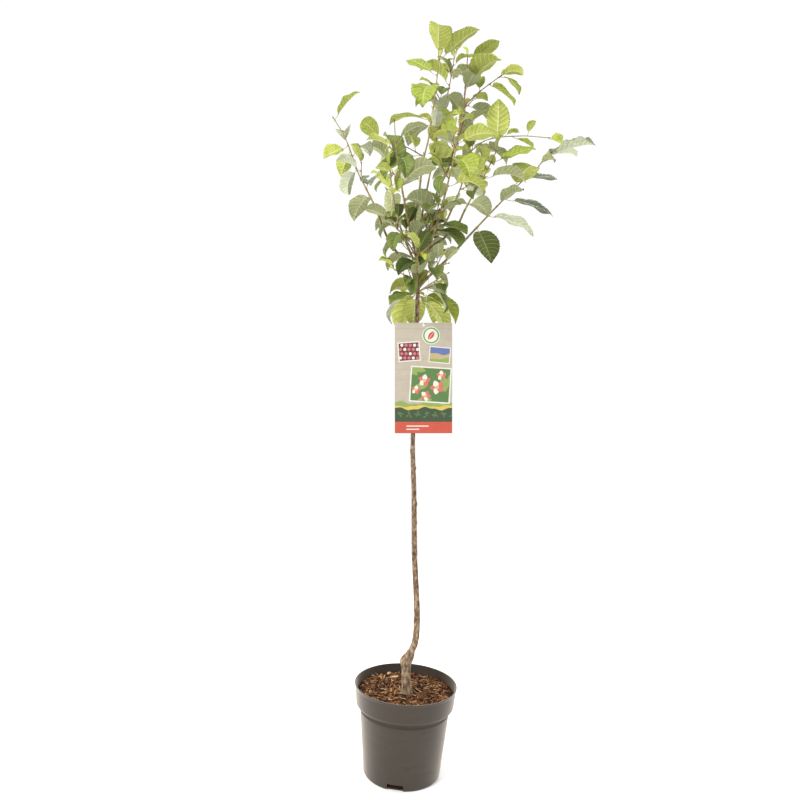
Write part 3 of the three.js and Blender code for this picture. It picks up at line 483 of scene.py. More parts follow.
def test_points(leaf):
    rows = np.repeat(BLADE_ROWS, len(BLADE_SHARES)) * leaf["blade"] + leaf["petiole"]
    shares = np.tile(BLADE_SHARES, len(BLADE_ROWS))
    blade = leaf_point(leaf, rows, shares, 0)
    tip = leaf_point(leaf, leaf["petiole"] + leaf["blade"], 0, 0)
    stalk = leaf_point(leaf, np.array(STALK_PLACES) * leaf["petiole"], 0, 0)
    return np.vstack([blade, tip]), stalk


STRING_TOP = curve_point(BOUGHS[STRING["bough"]]["route"], STRING["along"])


def clear_of_label(points):
    """Whether points keep off the label and its string."""
    turn = math.radians(LABEL["turn"])
    dx = points[:, 0] - LABEL["x"]
    dz = points[:, 2] - LABEL["z"]
    wide = np.abs(dx * math.cos(turn) - dz * math.sin(turn))
    high = dx * math.sin(turn) + dz * math.cos(turn)
    y = points[:, 1]
    over_card = (wide < HALF_X + CLEAR["label"]) & (np.abs(high) < HALF_Y + CLEAR["label"])
    if (over_card & (np.abs(y - LABEL["y"]) < CLEAR["label"])).any():
        return False
    by_string = (wide < CLEAR["string"]) & (high > 0) & (points[:, 2] < STRING_TOP[2] + CLEAR["over"])
    beside = (y > LABEL["y"] - CLEAR["label"]) & (y < STRING_TOP[1] + CLEAR["over"])
    return not (by_string & beside).any()


def stands_clear(leaf, shoot, balls, standing, ease=1.0):
    """Adds a leaf to those that stand, if it touches nothing."""
    blade, stalk = test_points(leaf)
    tested = np.vstack([blade, stalk[1:]])
    clear = (
        balls.keep_off(tested, shoot["key"], ease)
        and clear_of_label(tested)
        and standing.keep_off(blade, stalk, shoot["mass"], ease)
    )
    if clear:
        standing.add(blade, stalk, shoot["mass"])
    return clear


def make_leaf(shoot, at, blade, petiole, angles, is_tip=False, tone=None):
    """A leaf at a place on a shoot, with its angles: heading, rise, bend, roll and fold."""
    heading, rise, bend, roll, fold = angles
    return {
        "foot": place_on(shoot["line"], at)[0],
        "heading": heading,
        "rise": rise,
        "bend": bend,
        "blade": blade,
        "petiole": petiole,
        "roll": roll,
        "fold": fold,
        "shoot": shoot["key"],
        "at": at,
        "is_tip": is_tip,
        "tone": tone,
    }


def grow_leaf(draw, shoot, distance, turn, size, is_tip, balls, standing, ease=1.0):
    """Draws a leaf for a place on a shoot until it stands clear, or gives it up."""
    tangent = place_on(shoot["line"], distance)[1]
    for i in range(RULE["tries"]):
        spread = RULE["turn_spread"] + RULE["turn_widen"] * i
        turned = math.radians(turn + spread * (draw() - 0.5))
        lean = math.radians(between(RULE["tip_lean"] if is_tip else RULE["lean"], draw()))
        heading, rise = aim_from(tangent, turned, lean)
        rise = max(rise, math.radians(RULE["lowest_rise"]))
        blade = size * between(RULE["size"], draw())
        bend = math.radians(between(RULE["tip_bend"] if is_tip else RULE["bend"], draw()))
        petiole = blade * between(RULE["petiole"], draw())
        roll = math.radians(RULE["roll"] * (draw() - 0.5))
        fold = math.radians(between(RULE["fold"], draw()))
        leaf = make_leaf(shoot, distance, blade, petiole, (heading, rise, bend, roll, fold), is_tip)
        if stands_clear(leaf, shoot, balls, standing, ease):
            return leaf
    return None


def stations_of(shoot):
    """Places along a shoot where a leaf or a twig can stand, with the turn of each round it."""
    stations = []
    distance = shoot["step"] * RULE["first_leaf"]
    while distance < shoot["length"] - RULE["last_leaf"]:
        turn = shoot["phase"] + len(stations) * RULE["turn"]
        stations.append({"distance": distance, "turn": turn, "taken": False})
        distance += shoot["step"]
    return stations


def grow_twigs(stem, draw, balls, standing):
    """Short twigs of a stem, one at every few stations, skipped where they would touch something."""
    twigs = []
    free = [station for station in stem["stations"] if not station["taken"]]
    for i in range(1, len(free) - 1, RULE["twig_every"]):
        station = free[i]
        foot, tangent = place_on(stem["line"], station["distance"])
        turned = math.radians(station["turn"] + RULE["turn_spread"] * (draw() - 0.5))
        heading, rise = aim_from(tangent, turned, math.radians(between(RULE["lean"], draw())))
        length = between(RULE["twig_length"], draw())
        rise = max(rise, 0) + math.radians(RULE["twig_lift"])
        level = length * math.cos(rise)
        height = length * math.sin(rise)
        tip = foot + np.array([level * math.cos(heading), level * math.sin(heading), height])
        middle = (foot + tip) / 2
        middle[2] -= length * RULE["twig_sag"]
        route = [tuple(foot), tuple(middle), tuple(tip)]
        leaf = stem["leaf"] * RULE["twig_leaf"]
        twig = make_shoot(stem["mass"], route, RULE["twig_radius"], RULE["twig_step"], leaf, False)
        test = np.array([place_on(twig["line"], length * RULE["twig_test"])[0], tip])
        off_blades = nearest(test, standing.blades.reshape(-1, 3)) > CLEAR["other_leaf"]
        if balls.keep_off(test, stem["key"], 1) and clear_of_label(test) and off_blades:
            twig["phase"] = station["turn"]
            twig["stations"] = stations_of(twig)
            twigs.append(twig)
            station["taken"] = True
            balls.add(twig["line"], twig["foot"], twig["tip"], twig["key"])
    return twigs


def grow_leaves(draw, shoot, balls, standing):
    """The leaves of a shoot, from its tip down."""
    leaves = []
    if not shoot.get("tip_taken"):
        size = shoot["leaf"] * RULE["tip_sizes"][1]
        turn = shoot["phase"] + 90
        leaves.append(grow_leaf(draw, shoot, shoot["length"] - 1, turn, size, True, balls, standing))
    last = len(shoot["stations"]) - 1
    for i in range(last, -1, -1):
        station = shoot["stations"][i]
        from_tip = last - i
        size = shoot["leaf"] * (RULE["tip_sizes"][from_tip] if from_tip < len(RULE["tip_sizes"]) else 1)
        if not station["taken"]:
            leaves.append(
                grow_leaf(draw, shoot, station["distance"], station["turn"], size, False, balls, standing)
            )
    return [leaf for leaf in leaves if leaf is not None]


def long_shoots(name, number):
    """The stem and the long side twigs of a mass."""
    mass = MASSES[name]
    shoots = [make_shoot(number, mass["stem"], mass["radius"], mass["step"], mass["leaf"], True)]
    radius = mass["radius"] * SIDE_TWIG["radius"]
    step = mass["step"] * SIDE_TWIG["step"]
    leaf = mass["leaf"] * SIDE_TWIG["leaf"]
    for route in mass["twigs"]:
        shoots.append(make_shoot(number, route, radius, step, leaf, False))
    return shoots


def set_leaves(shoots, rows, balls, standing):
    """The leaves of a mass that are set by measure."""
    leaves = []
    for on, at, heading, rise, bend, blade, stalk, roll, fold, tone in rows:
        angles = [math.radians(angle) for angle in (heading, rise, bend, roll, fold)]
        leaf = make_leaf(shoots[on], at, blade, stalk, angles, tone=tone)
        if stands_clear(leaf, shoots[on], balls, standing):
            leaves.append(leaf)
    return leaves


def grow_mass(shoots, mass, balls, standing):
    """One mass: its short twigs, then its leaves."""
    draw = seeded(mass["seed"])
    for index, shoot in enumerate(shoots):
        held = [row[1] for row in mass["set"] if row[0] == index]
        space = shoot["step"] * RULE["set_space"]
        shoot["phase"] = 360 * draw()
        shoot["stations"] = stations_of(shoot)
        for station in shoot["stations"]:
            station["taken"] = any(abs(at - station["distance"]) < space for at in held)
        shoot["tip_taken"] = any(abs(at - shoot["length"]) < space for at in held)
    shoots = shoots + grow_twigs(shoots[0], draw, balls, standing)
    leaves = []
    for shoot in shoots:
        leaves += grow_leaves(draw, shoot, balls, standing)
    return shoots, leaves


def grow_tree():
    """The whole tree: long shoots and the leaves set by measure first, then mass by mass."""
    balls = Balls()
    standing = Standing()
    trunk_line = curve_line(TRUNK_ROUTE, 3 * SHOOT["points"])
    balls.add(trunk_line, TRUNK_ROUTE[0][3], TRUNK_ROUTE[-1][3], 0)
    for bough in BOUGHS.values():
        balls.add(curve_line(bough["route"], SHOOT["points"]), bough["foot"], bough["tip"], 0)
    shoots_of = {}
    for number, name in enumerate(MASSES):
        shoots_of[name] = long_shoots(name, number)
        for shoot in shoots_of[name]:
            balls.add(shoot["line"], shoot["foot"], shoot["tip"], shoot["key"])
    fixed = {name: set_leaves(shoots_of[name], MASSES[name]["set"], balls, standing) for name in MASSES}
    grown = {}
    for name, mass in MASSES.items():
        shoots, leaves = grow_mass(shoots_of[name], mass, balls, standing)
        grown[name] = {"shoots": shoots, "leaves": fixed[name] + leaves}
    return grown, balls, standing


# Materials: a plain colour with fine procedural variation and relief, at the scale of the real thing
NOISE = {"detail": 4, "fine_detail": 3, "places": (0.3, 0.7), "strength": 0.6}


def link(tree, source, target):
    tree.links.new(source, target)


def noise_of(tree, mapping, length, detail):
    """Noise in waves of a length in millimetres."""
    node = tree.nodes.new("ShaderNodeTexNoise")
    node.inputs["Scale"].default_value = 1 / (length * MM)
    node.inputs["Detail"].default_value = detail
    link(tree, mapping.outputs["Vector"], node.inputs["Vector"])
    return node


def surface(name, colour, rough, vary, wave, grain, depth, gloss, stretch=(1, 1, 1), **sockets):
    """A material whose colour varies in waves, with a relief of a finer grain: lengths in millimetres."""
    material = bpy.data.materials.new(name)
    material.use_nodes = True
    tree = material.node_tree
    shader = tree.nodes["Principled BSDF"]
    shader.inputs["Roughness"].default_value = rough
    shader.inputs["Specular IOR Level"].default_value = gloss
    for socket, value in sockets.items():
        shader.inputs[socket.replace("_", " ").title()].default_value = value
    place = tree.nodes.new("ShaderNodeTexCoord")
    mapping = tree.nodes.new("ShaderNodeMapping")
    mapping.inputs["Scale"].default_value = stretch
    link(tree, place.outputs["Object"], mapping.inputs["Vector"])
    mottle = noise_of(tree, mapping, wave, NOISE["detail"])
    ramp = tree.nodes.new("ShaderNodeValToRGB")
    for stop, position, share in zip(ramp.color_ramp.elements, NOISE["places"], (1 - vary, 1 + vary)):
        stop.position = position
        stop.color = [min(1, channel * share) for channel in colour] + [1]
    link(tree, mottle.outputs["Fac"], ramp.inputs["Fac"])
    link(tree, ramp.outputs["Color"], shader.inputs["Base Color"])
    fine = noise_of(tree, mapping, grain, NOISE["fine_detail"])
    bump = tree.nodes.new("ShaderNodeBump")
    bump.inputs["Strength"].default_value = NOISE["strength"]
    bump.inputs["Distance"].default_value = depth * MM
    link(tree, fine.outputs["Fac"], bump.inputs["Height"])
    link(tree, bump.outputs["Normal"], shader.inputs["Normal"])
    return material


# Plain surfaces: colour, roughness, variation and its wave, grain and depth of the relief, and gloss; for
# some, also how much the pattern is squeezed along each axis
SURFACES = {
    "stalk": ((0.34, 0.25, 0.075), 0.5, 0.3, 12, 0.5, 0.03, 0.25),
    "gland": ((0.32, 0.06, 0.03), 0.35, 0.2, 2, 0.4, 0.03, 0.5),
    "shoot_olive": ((0.27, 0.215, 0.07), 0.6, 0.3, 7, 0.6, 0.12, 0.25, (1, 1, 2.5)),
    "twig_brown": ((0.2, 0.115, 0.06), 0.6, 0.3, 6, 0.5, 0.1, 0.25),
    "twig_green": ((0.27, 0.21, 0.07), 0.6, 0.3, 6, 0.5, 0.08, 0.25),
    "bud": ((0.14, 0.05, 0.022), 0.5, 0.3, 1.5, 0.5, 0.15, 0.3),
    "pot_plastic": ((0.037, 0.0265, 0.018), 0.52, 0.07, 30, 1.2, 0.05, 0.35, (1, 1, 2.2)),
    # The step under the collar: the pot's plastic again, rougher, less glossy and without sheen, as painted
    # shade below the collar
    "pot_shaded_step": ((0.039, 0.028, 0.019), 0.66, 0.07, 30, 1.2, 0.05, 0.22),
    "peat": ((0.028, 0.013, 0.007), 0.95, 0.4, 4, 1.2, 0.9, 0.1),
    "mulch_dark": ((0.026, 0.011, 0.006), 0.9, 0.4, 2.5, 0.6, 0.25, 0.1),
    "mulch_red": ((0.1, 0.038, 0.015), 0.9, 0.35, 2.5, 0.6, 0.25, 0.15),
    "mulch_brown": ((0.15, 0.068, 0.03), 0.9, 0.35, 2.5, 0.6, 0.25, 0.15),
    "mulch_tan": ((0.33, 0.18, 0.078), 0.85, 0.3, 2.5, 0.6, 0.2, 0.15),
    "mulch_pale": ((0.54, 0.37, 0.2), 0.8, 0.2, 2.5, 0.6, 0.2, 0.15),
    "cord": ((0.78, 0.77, 0.73), 0.75, 0.08, 1.5, 0.35, 0.1, 0.5),
    "floor_pale": ((0.93, 0.93, 0.93), 0.8, 0.01, 60, 4, 0.02, 0.5),
}


def surfaces_of(*names, **sockets):
    """The plain surfaces of those names."""
    return [surface(name, *SURFACES[name], **sockets) for name in names]


def add_object(name, data):
    made = bpy.data.objects.new(name, data)
    bpy.context.scene.collection.objects.link(made)
    return made


def add_mesh(name, points, faces):
    mesh = bpy.data.meshes.new(name)
    mesh.from_pydata(points.tolist(), [], faces)
    return add_object(name, mesh)


def dress(piece, nodes):
    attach(piece, "root")
    if nodes:
        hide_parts(*nodes)


class Heap:
    """Many small meshes, in millimetres, that become one joined piece."""

    def __init__(self):
        self.points = []
        self.faces = []
        self.tones = []
        self.count = 0

    def add(self, points, faces, tones):
        """Faces are lists of vertex numbers, and tones one material number or one for each face."""
        self.points.append(np.asarray(points, float))
        self.faces += [[number + self.count for number in face] for face in faces]
        self.tones += [tones] * len(faces) if isinstance(tones, int) else list(tones)
        self.count += len(points)

    def piece(self, name, materials, slot, nodes, smooth=True):
        piece = add_mesh(name, np.vstack(self.points) * MM, self.faces)
        for material in materials:
            piece.data.materials.append(material)
        piece.data.polygons.foreach_set("material_index", self.tones)
        piece.data.polygons.foreach_set("use_smooth", [smooth] * len(piece.data.polygons))
        piece.data.update()
        dress(piece, nodes)


def waves(points, length, shift):
    """Smooth noise from about -1 to 1 at each point, in waves of about that length."""
    move = Vector((shift, 2 * shift, 3 * shift))
    return np.array([noise.noise(Vector(point) / length + move) for point in points])


def bell(distance):
    """1 at no distance, and falling smoothly to 0."""
    return np.exp(-(distance**2))


def turns(sides):
    """The angles of the points of a ring."""
    return 2 * np.pi * np.arange(sides) / sides


def apart_by(angles, angle):
    """The angles between a ring's angles and one of them, from -pi to pi."""
    return np.angle(np.exp(1j * (angles - angle)))


def spokes(side, other, sides):
    angles = turns(sides)
    return np.cos(angles)[:, None] * side + np.sin(angles)[:, None] * other


def level_ring(radius, angles, z):
    return np.stack([radius * np.cos(angles), radius * np.sin(angles), np.full(len(angles), z)], axis=1)


def ring_faces(rings, sides, flip=False):
    """The faces between rings, and fans to a point at each end."""
    faces = []
    for i in range(rings - 1):
        for j in range(sides):
            after = (j + 1) % sides
            faces.append([i * sides + j, i * sides + after, (i + 1) * sides + after, (i + 1) * sides + j])
    start = rings * sides
    last = (rings - 1) * sides
    for j in range(sides):
        after = (j + 1) % sides
        faces.append([start, after, j])
        faces.append([start + 1, last + j, last + after])
    return [face[::-1] for face in faces] if flip else faces


def tube(line, radii, sides):
    """A round tube along a line of points, its frame carried along without twist."""
    line = np.asarray(line, float)
    tangents = np.gradient(line, axis=0)
    tangents /= np.linalg.norm(tangents, axis=1)[:, None]
    side = across(tangents[0])[0]
    rings = []
    for point, tangent, radius in zip(line, tangents, radii):
        side = unit(side - tangent * np.dot(side, tangent))
        rings.append(point + spokes(side, np.cross(tangent, side), sides) * radius)
    return np.vstack(rings + [line[:1], line[-1:]]), ring_faces(len(line), sides)


def ovoid(foot, axis, length, width, sides=8, rows=6, sharp=1.6):
    """A bud or gland: an egg that comes to a point along its axis."""
    side, other = across(axis)
    rings = []
    for i in range(1, rows):
        share = i / rows
        reach = width / 2 * math.sin(math.pi * share ** (1 / sharp))
        rings.append(foot + axis * length * share + spokes(side, other, sides) * reach)
    points = np.vstack(rings + [[foot], [foot + axis * length]])
    return points, ring_faces(rows - 1, sides, flip=True)


# Leaf blades: rows that sweep forward like the side veins, a strip along each vein, and a fine saw edge
LEAF = {
    "sweep": 0.2,
    "sweep_power": 1.2,
    "first_vein": 0.75,
    "last_gap": 0.7,
    "vein": 0.005,
    "start": 0.012,
    "end": 0.992,
    "tooth": 0.05,
    "tooth_fade": 0.4,
    "forward": 0.01,
    "thickness": 0.45,
    "puff": 1.35,
    "groove": 0.5,
    "ridge": 0.8,
    "rib": 0.05,
    "rib_taper": 0.7,
    "wave": 2.3,
    "wave_count": (1.6, 2.6),
    "wave_share": (0.4, 1.3),
    "wave_shift": 0.37,
    "tip_drop": 0.06,
    "tip_from": 0.78,
    "swing": 4.0,
    "curl": 0.24,
    "curl_share": (-1, 0.8),
    "boat": (0.0, 0.34),
    "slim": (0.92, 1.1),
}
# Rows between two side veins with the reach of the saw edge there, and its reach before and after a vein
TEETH = ((0.25, 1), (0.5, -0.4), (0.75, 1))
TOOTH_BEFORE = -0.4
TOOTH_AFTER = 0.8
# Outline of a blade from stalk to tip: place along it, and half width as a share of the greatest
OUTLINE_PLACES = (0, 0.03, 0.08, 0.15, 0.25, 0.36, 0.48, 0.6, 0.7, 0.79, 0.86, 0.91, 0.95, 0.98, 1)
OUTLINE_WIDTHS = (0, 0.25, 0.46, 0.67, 0.86, 0.97, 1.0, 0.97, 0.88, 0.73, 0.53, 0.35, 0.2, 0.1, 0)
SMALL_LEAF = 36
FULL_LEAF = 80


class BladeGrid:
    """The rows and columns of a blade, the same for every leaf, with the top and the underside."""

    def __init__(self, pairs, shares):
        steps = [(LEAF["start"], 0.0, 0.0)]
        in_vein = []
        centres = (np.arange(pairs) + LEAF["first_vein"]) / (pairs + LEAF["last_gap"])
        for centre in [*centres, LEAF["end"] + LEAF["vein"]]:
            start = steps[-1][0]
            low = centre - LEAF["vein"]
            for share, tooth in TEETH:
                steps.append((start + (low - start) * share, math.sin(math.pi * share), tooth))
            steps.append((low, 0.0, TOOTH_BEFORE))
            in_vein += [False] * (len(TEETH) + 1)
            if centre < LEAF["end"]:
                steps.append((centre + LEAF["vein"], 0.0, TOOTH_AFTER))
                in_vein.append(True)
        self.rows, self.puff, teeth = (np.array(column)[:, None] for column in zip(*steps))
        self.shares = np.array(shares, float)[None, :]
        self.teeth = teeth * (np.abs(self.shares) == 1) * np.sin(np.pi * self.rows) ** LEAF["tooth_fade"]
        bow = LEAF["sweep"] * np.sin(np.pi * self.rows)
        self.place = self.rows + LEAF["forward"] * np.maximum(0, self.teeth)
        self.place = self.place + bow * np.abs(self.shares) ** LEAF["sweep_power"]
        self.wide = len(shares)
        self.middle = len(shares) // 2
        self.faces = []
        self.kinds = []
        self.join(in_vein)

    def on_edge(self, number):
        """Whether a vertex lies on the edge, where the top and the underside share it."""
        row, column = divmod(number, self.wide)
        return row < len(self.rows) and (row in (0, len(self.rows) - 1) or column in (0, self.wide - 1))

    def under(self, number):
        """The number of the vertex of the underside below one of the top."""
        if self.on_edge(number):
            return number
        row, column = divmod(number, self.wide)
        return len(self.rows) * self.wide + (row - 1) * (self.wide - 2) + column - 1

    def join(self, in_vein):
        """Faces with their kind: 0 blade, 1 vein, 2 underside, 3 vein of the underside."""
        for i, vein in enumerate(in_vein):
            for j in range(self.wide - 1):
                is_vein = int(vein or j in (self.middle - 1, self.middle))
                low = i * self.wide + j
                quad = [low, low + self.wide, low + self.wide + 1, low + 1]
                self.add(quad, is_vein)
                self.add([self.under(number) for number in reversed(quad)], 2 + is_vein)
        self.kinds = np.array(self.kinds)

    def add(self, quad, kind):
        """Adds a face, in two triangles where only one of its corners lies inside the edge."""
        inside = [n for n, number in enumerate(quad) if not self.on_edge(number)]
        if len(inside) == 1:
            a, b, c, d = quad[inside[0]:] + quad[:inside[0]]
            self.faces += [[a, b, c], [a, c, d]]
            self.kinds += [kind, kind]
        else:
            self.faces.append(quad)
            self.kinds.append(kind)

    def shape(self, leaf, draw):
        """The points of one leaf, with its own waves, sideways swing and curl."""
        scale = leaf["blade"] / FULL_LEAF
        size = np.abs(self.shares)
        outline = between(LEAF["slim"], draw()) * np.interp(self.place, OUTLINE_PLACES, OUTLINE_WIDTHS)
        toothed = self.shares * (1 + LEAF["tooth"] * self.teeth) * outline
        share = toothed / np.maximum(1e-3, leaf_width(self.place))
        half = leaf["blade"] * RULE["width"] * outline
        puffed = LEAF["puff"] * scale * self.puff * size**0.5 * (1 - size**4)
        beat = between(LEAF["wave_count"], draw()) * self.place + draw()
        swell = np.sin(2 * np.pi * (beat + LEAF["wave_shift"] * np.sign(self.shares)))
        waved = LEAF["wave"] * scale * between(LEAF["wave_share"], draw()) * swell * size**2
        curled = LEAF["curl"] * between(LEAF["curl_share"], draw()) * half * size**3
        tip = np.maximum(0, (self.place - LEAF["tip_from"]) / (1 - LEAF["tip_from"]))
        dropped = LEAF["tip_drop"] * leaf["blade"] * tip**2
        swing = LEAF["swing"] * scale * between((-1, 1), draw()) * self.place**2
        boat = between(LEAF["boat"], draw())
        share = share * (1 - boat**2 / 2)
        lift = puffed + (waved + curled) * np.sin(np.pi * self.rows) ** 0.5 - dropped + boat * half * size
        along = leaf["petiole"] + self.place * leaf["blade"]
        rib = np.maximum(0, 1 - size / LEAF["rib"]) * (1 - LEAF["rib_taper"] * self.rows)
        top = lift + LEAF["thickness"] / 2 - LEAF["groove"] * rib
        below = lift - LEAF["thickness"] / 2 - LEAF["ridge"] * rib
        upper = leaf_point(leaf, along, share, top, swing)
        lower = leaf_point(leaf, along, share, below, swing)[1:-1, 1:-1]
        return np.vstack([upper.reshape(-1, 3), lower.reshape(-1, 3)])


FULL_GRID = BladeGrid(8, (-1, -0.92, -0.72, -0.48, -0.24, -0.05, 0, 0.05, 0.24, 0.48, 0.72, 0.92, 1))
SMALL_GRID = BladeGrid(5, (-1, -0.6, -0.06, 0, 0.06, 0.6, 1))

# Leaf colours: blade, vein, underside and the underside's vein of each tone
LEAF_COLOURS = {
    "young": ((0.4, 0.46, 0.05), (0.54, 0.58, 0.18), (0.42, 0.47, 0.09), (0.62, 0.65, 0.31)),
    # The bright tone: a lighter yellow-green, partly the fresh leaves' own colour and partly painted light
    # shining through the blade from behind
    "bright": ((0.23, 0.28, 0.032), (0.38, 0.42, 0.15), (0.375, 0.41, 0.088), (0.57, 0.6, 0.31)),
    "mid": ((0.112, 0.15, 0.027), (0.23, 0.27, 0.1), (0.31, 0.33, 0.16), (0.5, 0.52, 0.33)),
    # The deep tone: a darker green, underside too, for leaves inside the crown: partly their own colour and
    # partly painted shade
    "deep": ((0.037, 0.061, 0.01), (0.1, 0.14, 0.045), (0.083, 0.105, 0.025), (0.2, 0.23, 0.1)),
    # The grey tone's grey-green top stands for the white sky's sheen on the leaf: painted reflection; its
    # pale underside is the leaf's own colour
    "grey": ((0.15, 0.18, 0.11), (0.28, 0.31, 0.21), (0.44, 0.465, 0.32), (0.57, 0.59, 0.45)),
}
# Kinds of face: name, roughness, variation and its wave, grain and depth of the relief, and gloss
LEAF_KINDS = (
    ("leaf", 0.52, 0.2, 9, 1.1, 0.012, 0.2),
    ("leaf_vein", 0.6, 0.08, 9, 1.1, 0.01, 0.15),
    ("leaf_under", 0.75, 0.12, 9, 1.0, 0.012, 0.08),
    ("leaf_under_vein", 0.7, 0.08, 9, 1.1, 0.01, 0.08),
)
GREY_GLOSS = 0.24
TONES = list(LEAF_COLOURS)


def leaf_materials():
    """Four surfaces for each tone, in the order of the kinds of face."""
    made = []
    for tone, colours in LEAF_COLOURS.items():
        for colour, (kind, *look) in zip(colours, LEAF_KINDS):
            if (tone, kind) == ("grey", "leaf"):
                look[-1] = GREY_GLOSS
            made.append(surface(f"{kind}_{tone}", colour, *look))
    return made


# Width of the picture in pixels, and centre and radius of the gaps of the crown in it, which show the sky,
# the trunk or the string
PICTURE = 800
GAPS = (
    (391, 116, 24), (461, 96, 7), (332, 113, 6), (474, 150, 6), (483, 104, 5), (371, 164, 6), (382, 156, 5),
    (460, 273, 18), (394, 279, 6), (402, 232, 5), (466, 28, 9), (328, 111, 7), (428, 296, 6),
    (432, 280, 4), (400, 251, 6), (404, 270, 5), (455, 212, 6), (450, 186, 7), (452, 262, 6),
)


def before_gap(leaf):
    """Whether a leaf would hide a gap of the crown from the camera."""
    middle = leaf_point(leaf, leaf["petiole"] + leaf["blade"] / 2, 0, 0)
    x, y, z = middle * MM - np.array(CAMERA["place"])
    scale = PICTURE * CAMERA["lens"] / CAMERA["sensor"] / y
    roll = math.radians(CAMERA["roll"])
    over = PICTURE / 2 + scale * (x * math.cos(roll) + z * math.sin(roll))
    down = PICTURE / 2 + scale * (x * math.sin(roll) - z * math.cos(roll))
    return any(math.hypot(over - u, down - v) < radius for u, v, radius in GAPS)


# Young leaves at the tips of shoots, finer than the leaves that the solids hold
FINE = {"count": 2, "size": (15, 32), "ease": 0.3, "seed": 401, "step": 3.5, "turn": 137, "young": 0.4}

# Stalks, with their radii in millimetres
STALK = {
    "sides": 7,
    "rings": 8,
    "foot": 1.15,
    "middle": 0.62,
    "top": 0.8,
    "flare": 0.12,
    "sag": 0.05,
    "droop": 0.5,
    "reach": 0.04,
    "thin": (0.6, 1),
}
# Glands: place on the stalk, heights of foot and tip over it, how far they stand aside, and their size
GLAND = {"place": 0.94, "heights": (-0.2, 0.3), "aside": (0.6, 1.6), "length": 1.5, "width": 1.125}
# Buds at the leaves and at the ends of shoots
BUD = {
    "length": 4.6,
    "width": 2.5,
    "out": 0.75,
    "sunk": 0.7,
    "above": 1.5,
    "clear": 4,
    "end_length": 6.2,
    "end_width": 3.3,
    "end_foot": 2.5,
    "slim": (0.55, 5),
    "end_slim": (0.5, 4),
}
# Bark of the shoots, with a swollen foot and a knuckle at each leaf
SHOOT_BARK = {
    "step": 3.0,
    "steps": 6,
    "relief": 0.05,
    "wave": 9,
    "foot": 0.6,
    "foot_reach": 4,
    "knuckle": 0.28,
    "knuckle_reach": 2.6,
    "sides": (8, 12),
}


def grow_fine(grown, balls, standing):
    """Small young leaves at the tips of all shoots, where they have room."""
    draw = seeded(FINE["seed"])
    for growth in grown.values():
        for shoot in growth["shoots"]:
            for i in range(1 if shoot.get("tip_taken") else FINE["count"]):
                distance = shoot["length"] - 1 - i * FINE["step"]
                turn = shoot["phase"] + (i + 1) * FINE["turn"]
                size = between(FINE["size"], draw())
                leaf = grow_leaf(draw, shoot, distance, turn, size, i == 0, balls, standing, FINE["ease"])
                if leaf is not None and not before_gap(leaf):
                    leaf["tone"] = "young" if draw() < FINE["young"] else "bright"
                    growth["leaves"].append(leaf)


def tone_of(leaf, name, pick):
    """A leaf's tone: its own, or its spray's, with fresher leaves at the tip in the bright tone, which is
    partly painted light through the blade, except in sprays whose first tone is deep, which is partly
    painted shade.
    """
    if leaf["tone"]:
        return leaf["tone"]
    tones = MASSES[name]["tones"]
    if leaf["is_tip"] and tones[0] != "deep":
        return "bright"
    return tones[int(pick[leaf["shoot"]] * len(tones))]


def add_stalk(heap, leaf):
    """The stalk of a leaf, with its swollen foot and the two glands below the blade."""
    reach = leaf["petiole"] + STALK["reach"] * leaf["blade"]
    share = np.linspace(0, 1, STALK["rings"])
    sag = -STALK["sag"] * leaf["petiole"] * np.sin(np.pi * share) - STALK["droop"] * share
    line = leaf_point(leaf, share * reach, 0, sag)
    line[0] = leaf["foot"]
    thin = between(STALK["thin"], min(1, leaf["blade"] / FULL_LEAF))
    radii = STALK["middle"] + (STALK["top"] - STALK["middle"]) * share**2
    radii += (STALK["foot"] - STALK["middle"]) * np.exp(-share / STALK["flare"])
    heap.add(*tube(line, radii * thin, STALK["sides"]), 0)
    if leaf["blade"] < SMALL_LEAF:
        return
    at = leaf["petiole"] * GLAND["place"]
    for hand in (-1, 1):
        foot, tip = (
            leaf_point(leaf, at, 0, height, hand * aside)
            for height, aside in zip(GLAND["heights"], GLAND["aside"])
        )
        gland = ovoid(foot, unit(tip - foot), GLAND["length"], GLAND["width"], sides=6, rows=4, sharp=1.0)
        heap.add(*gland, 1)


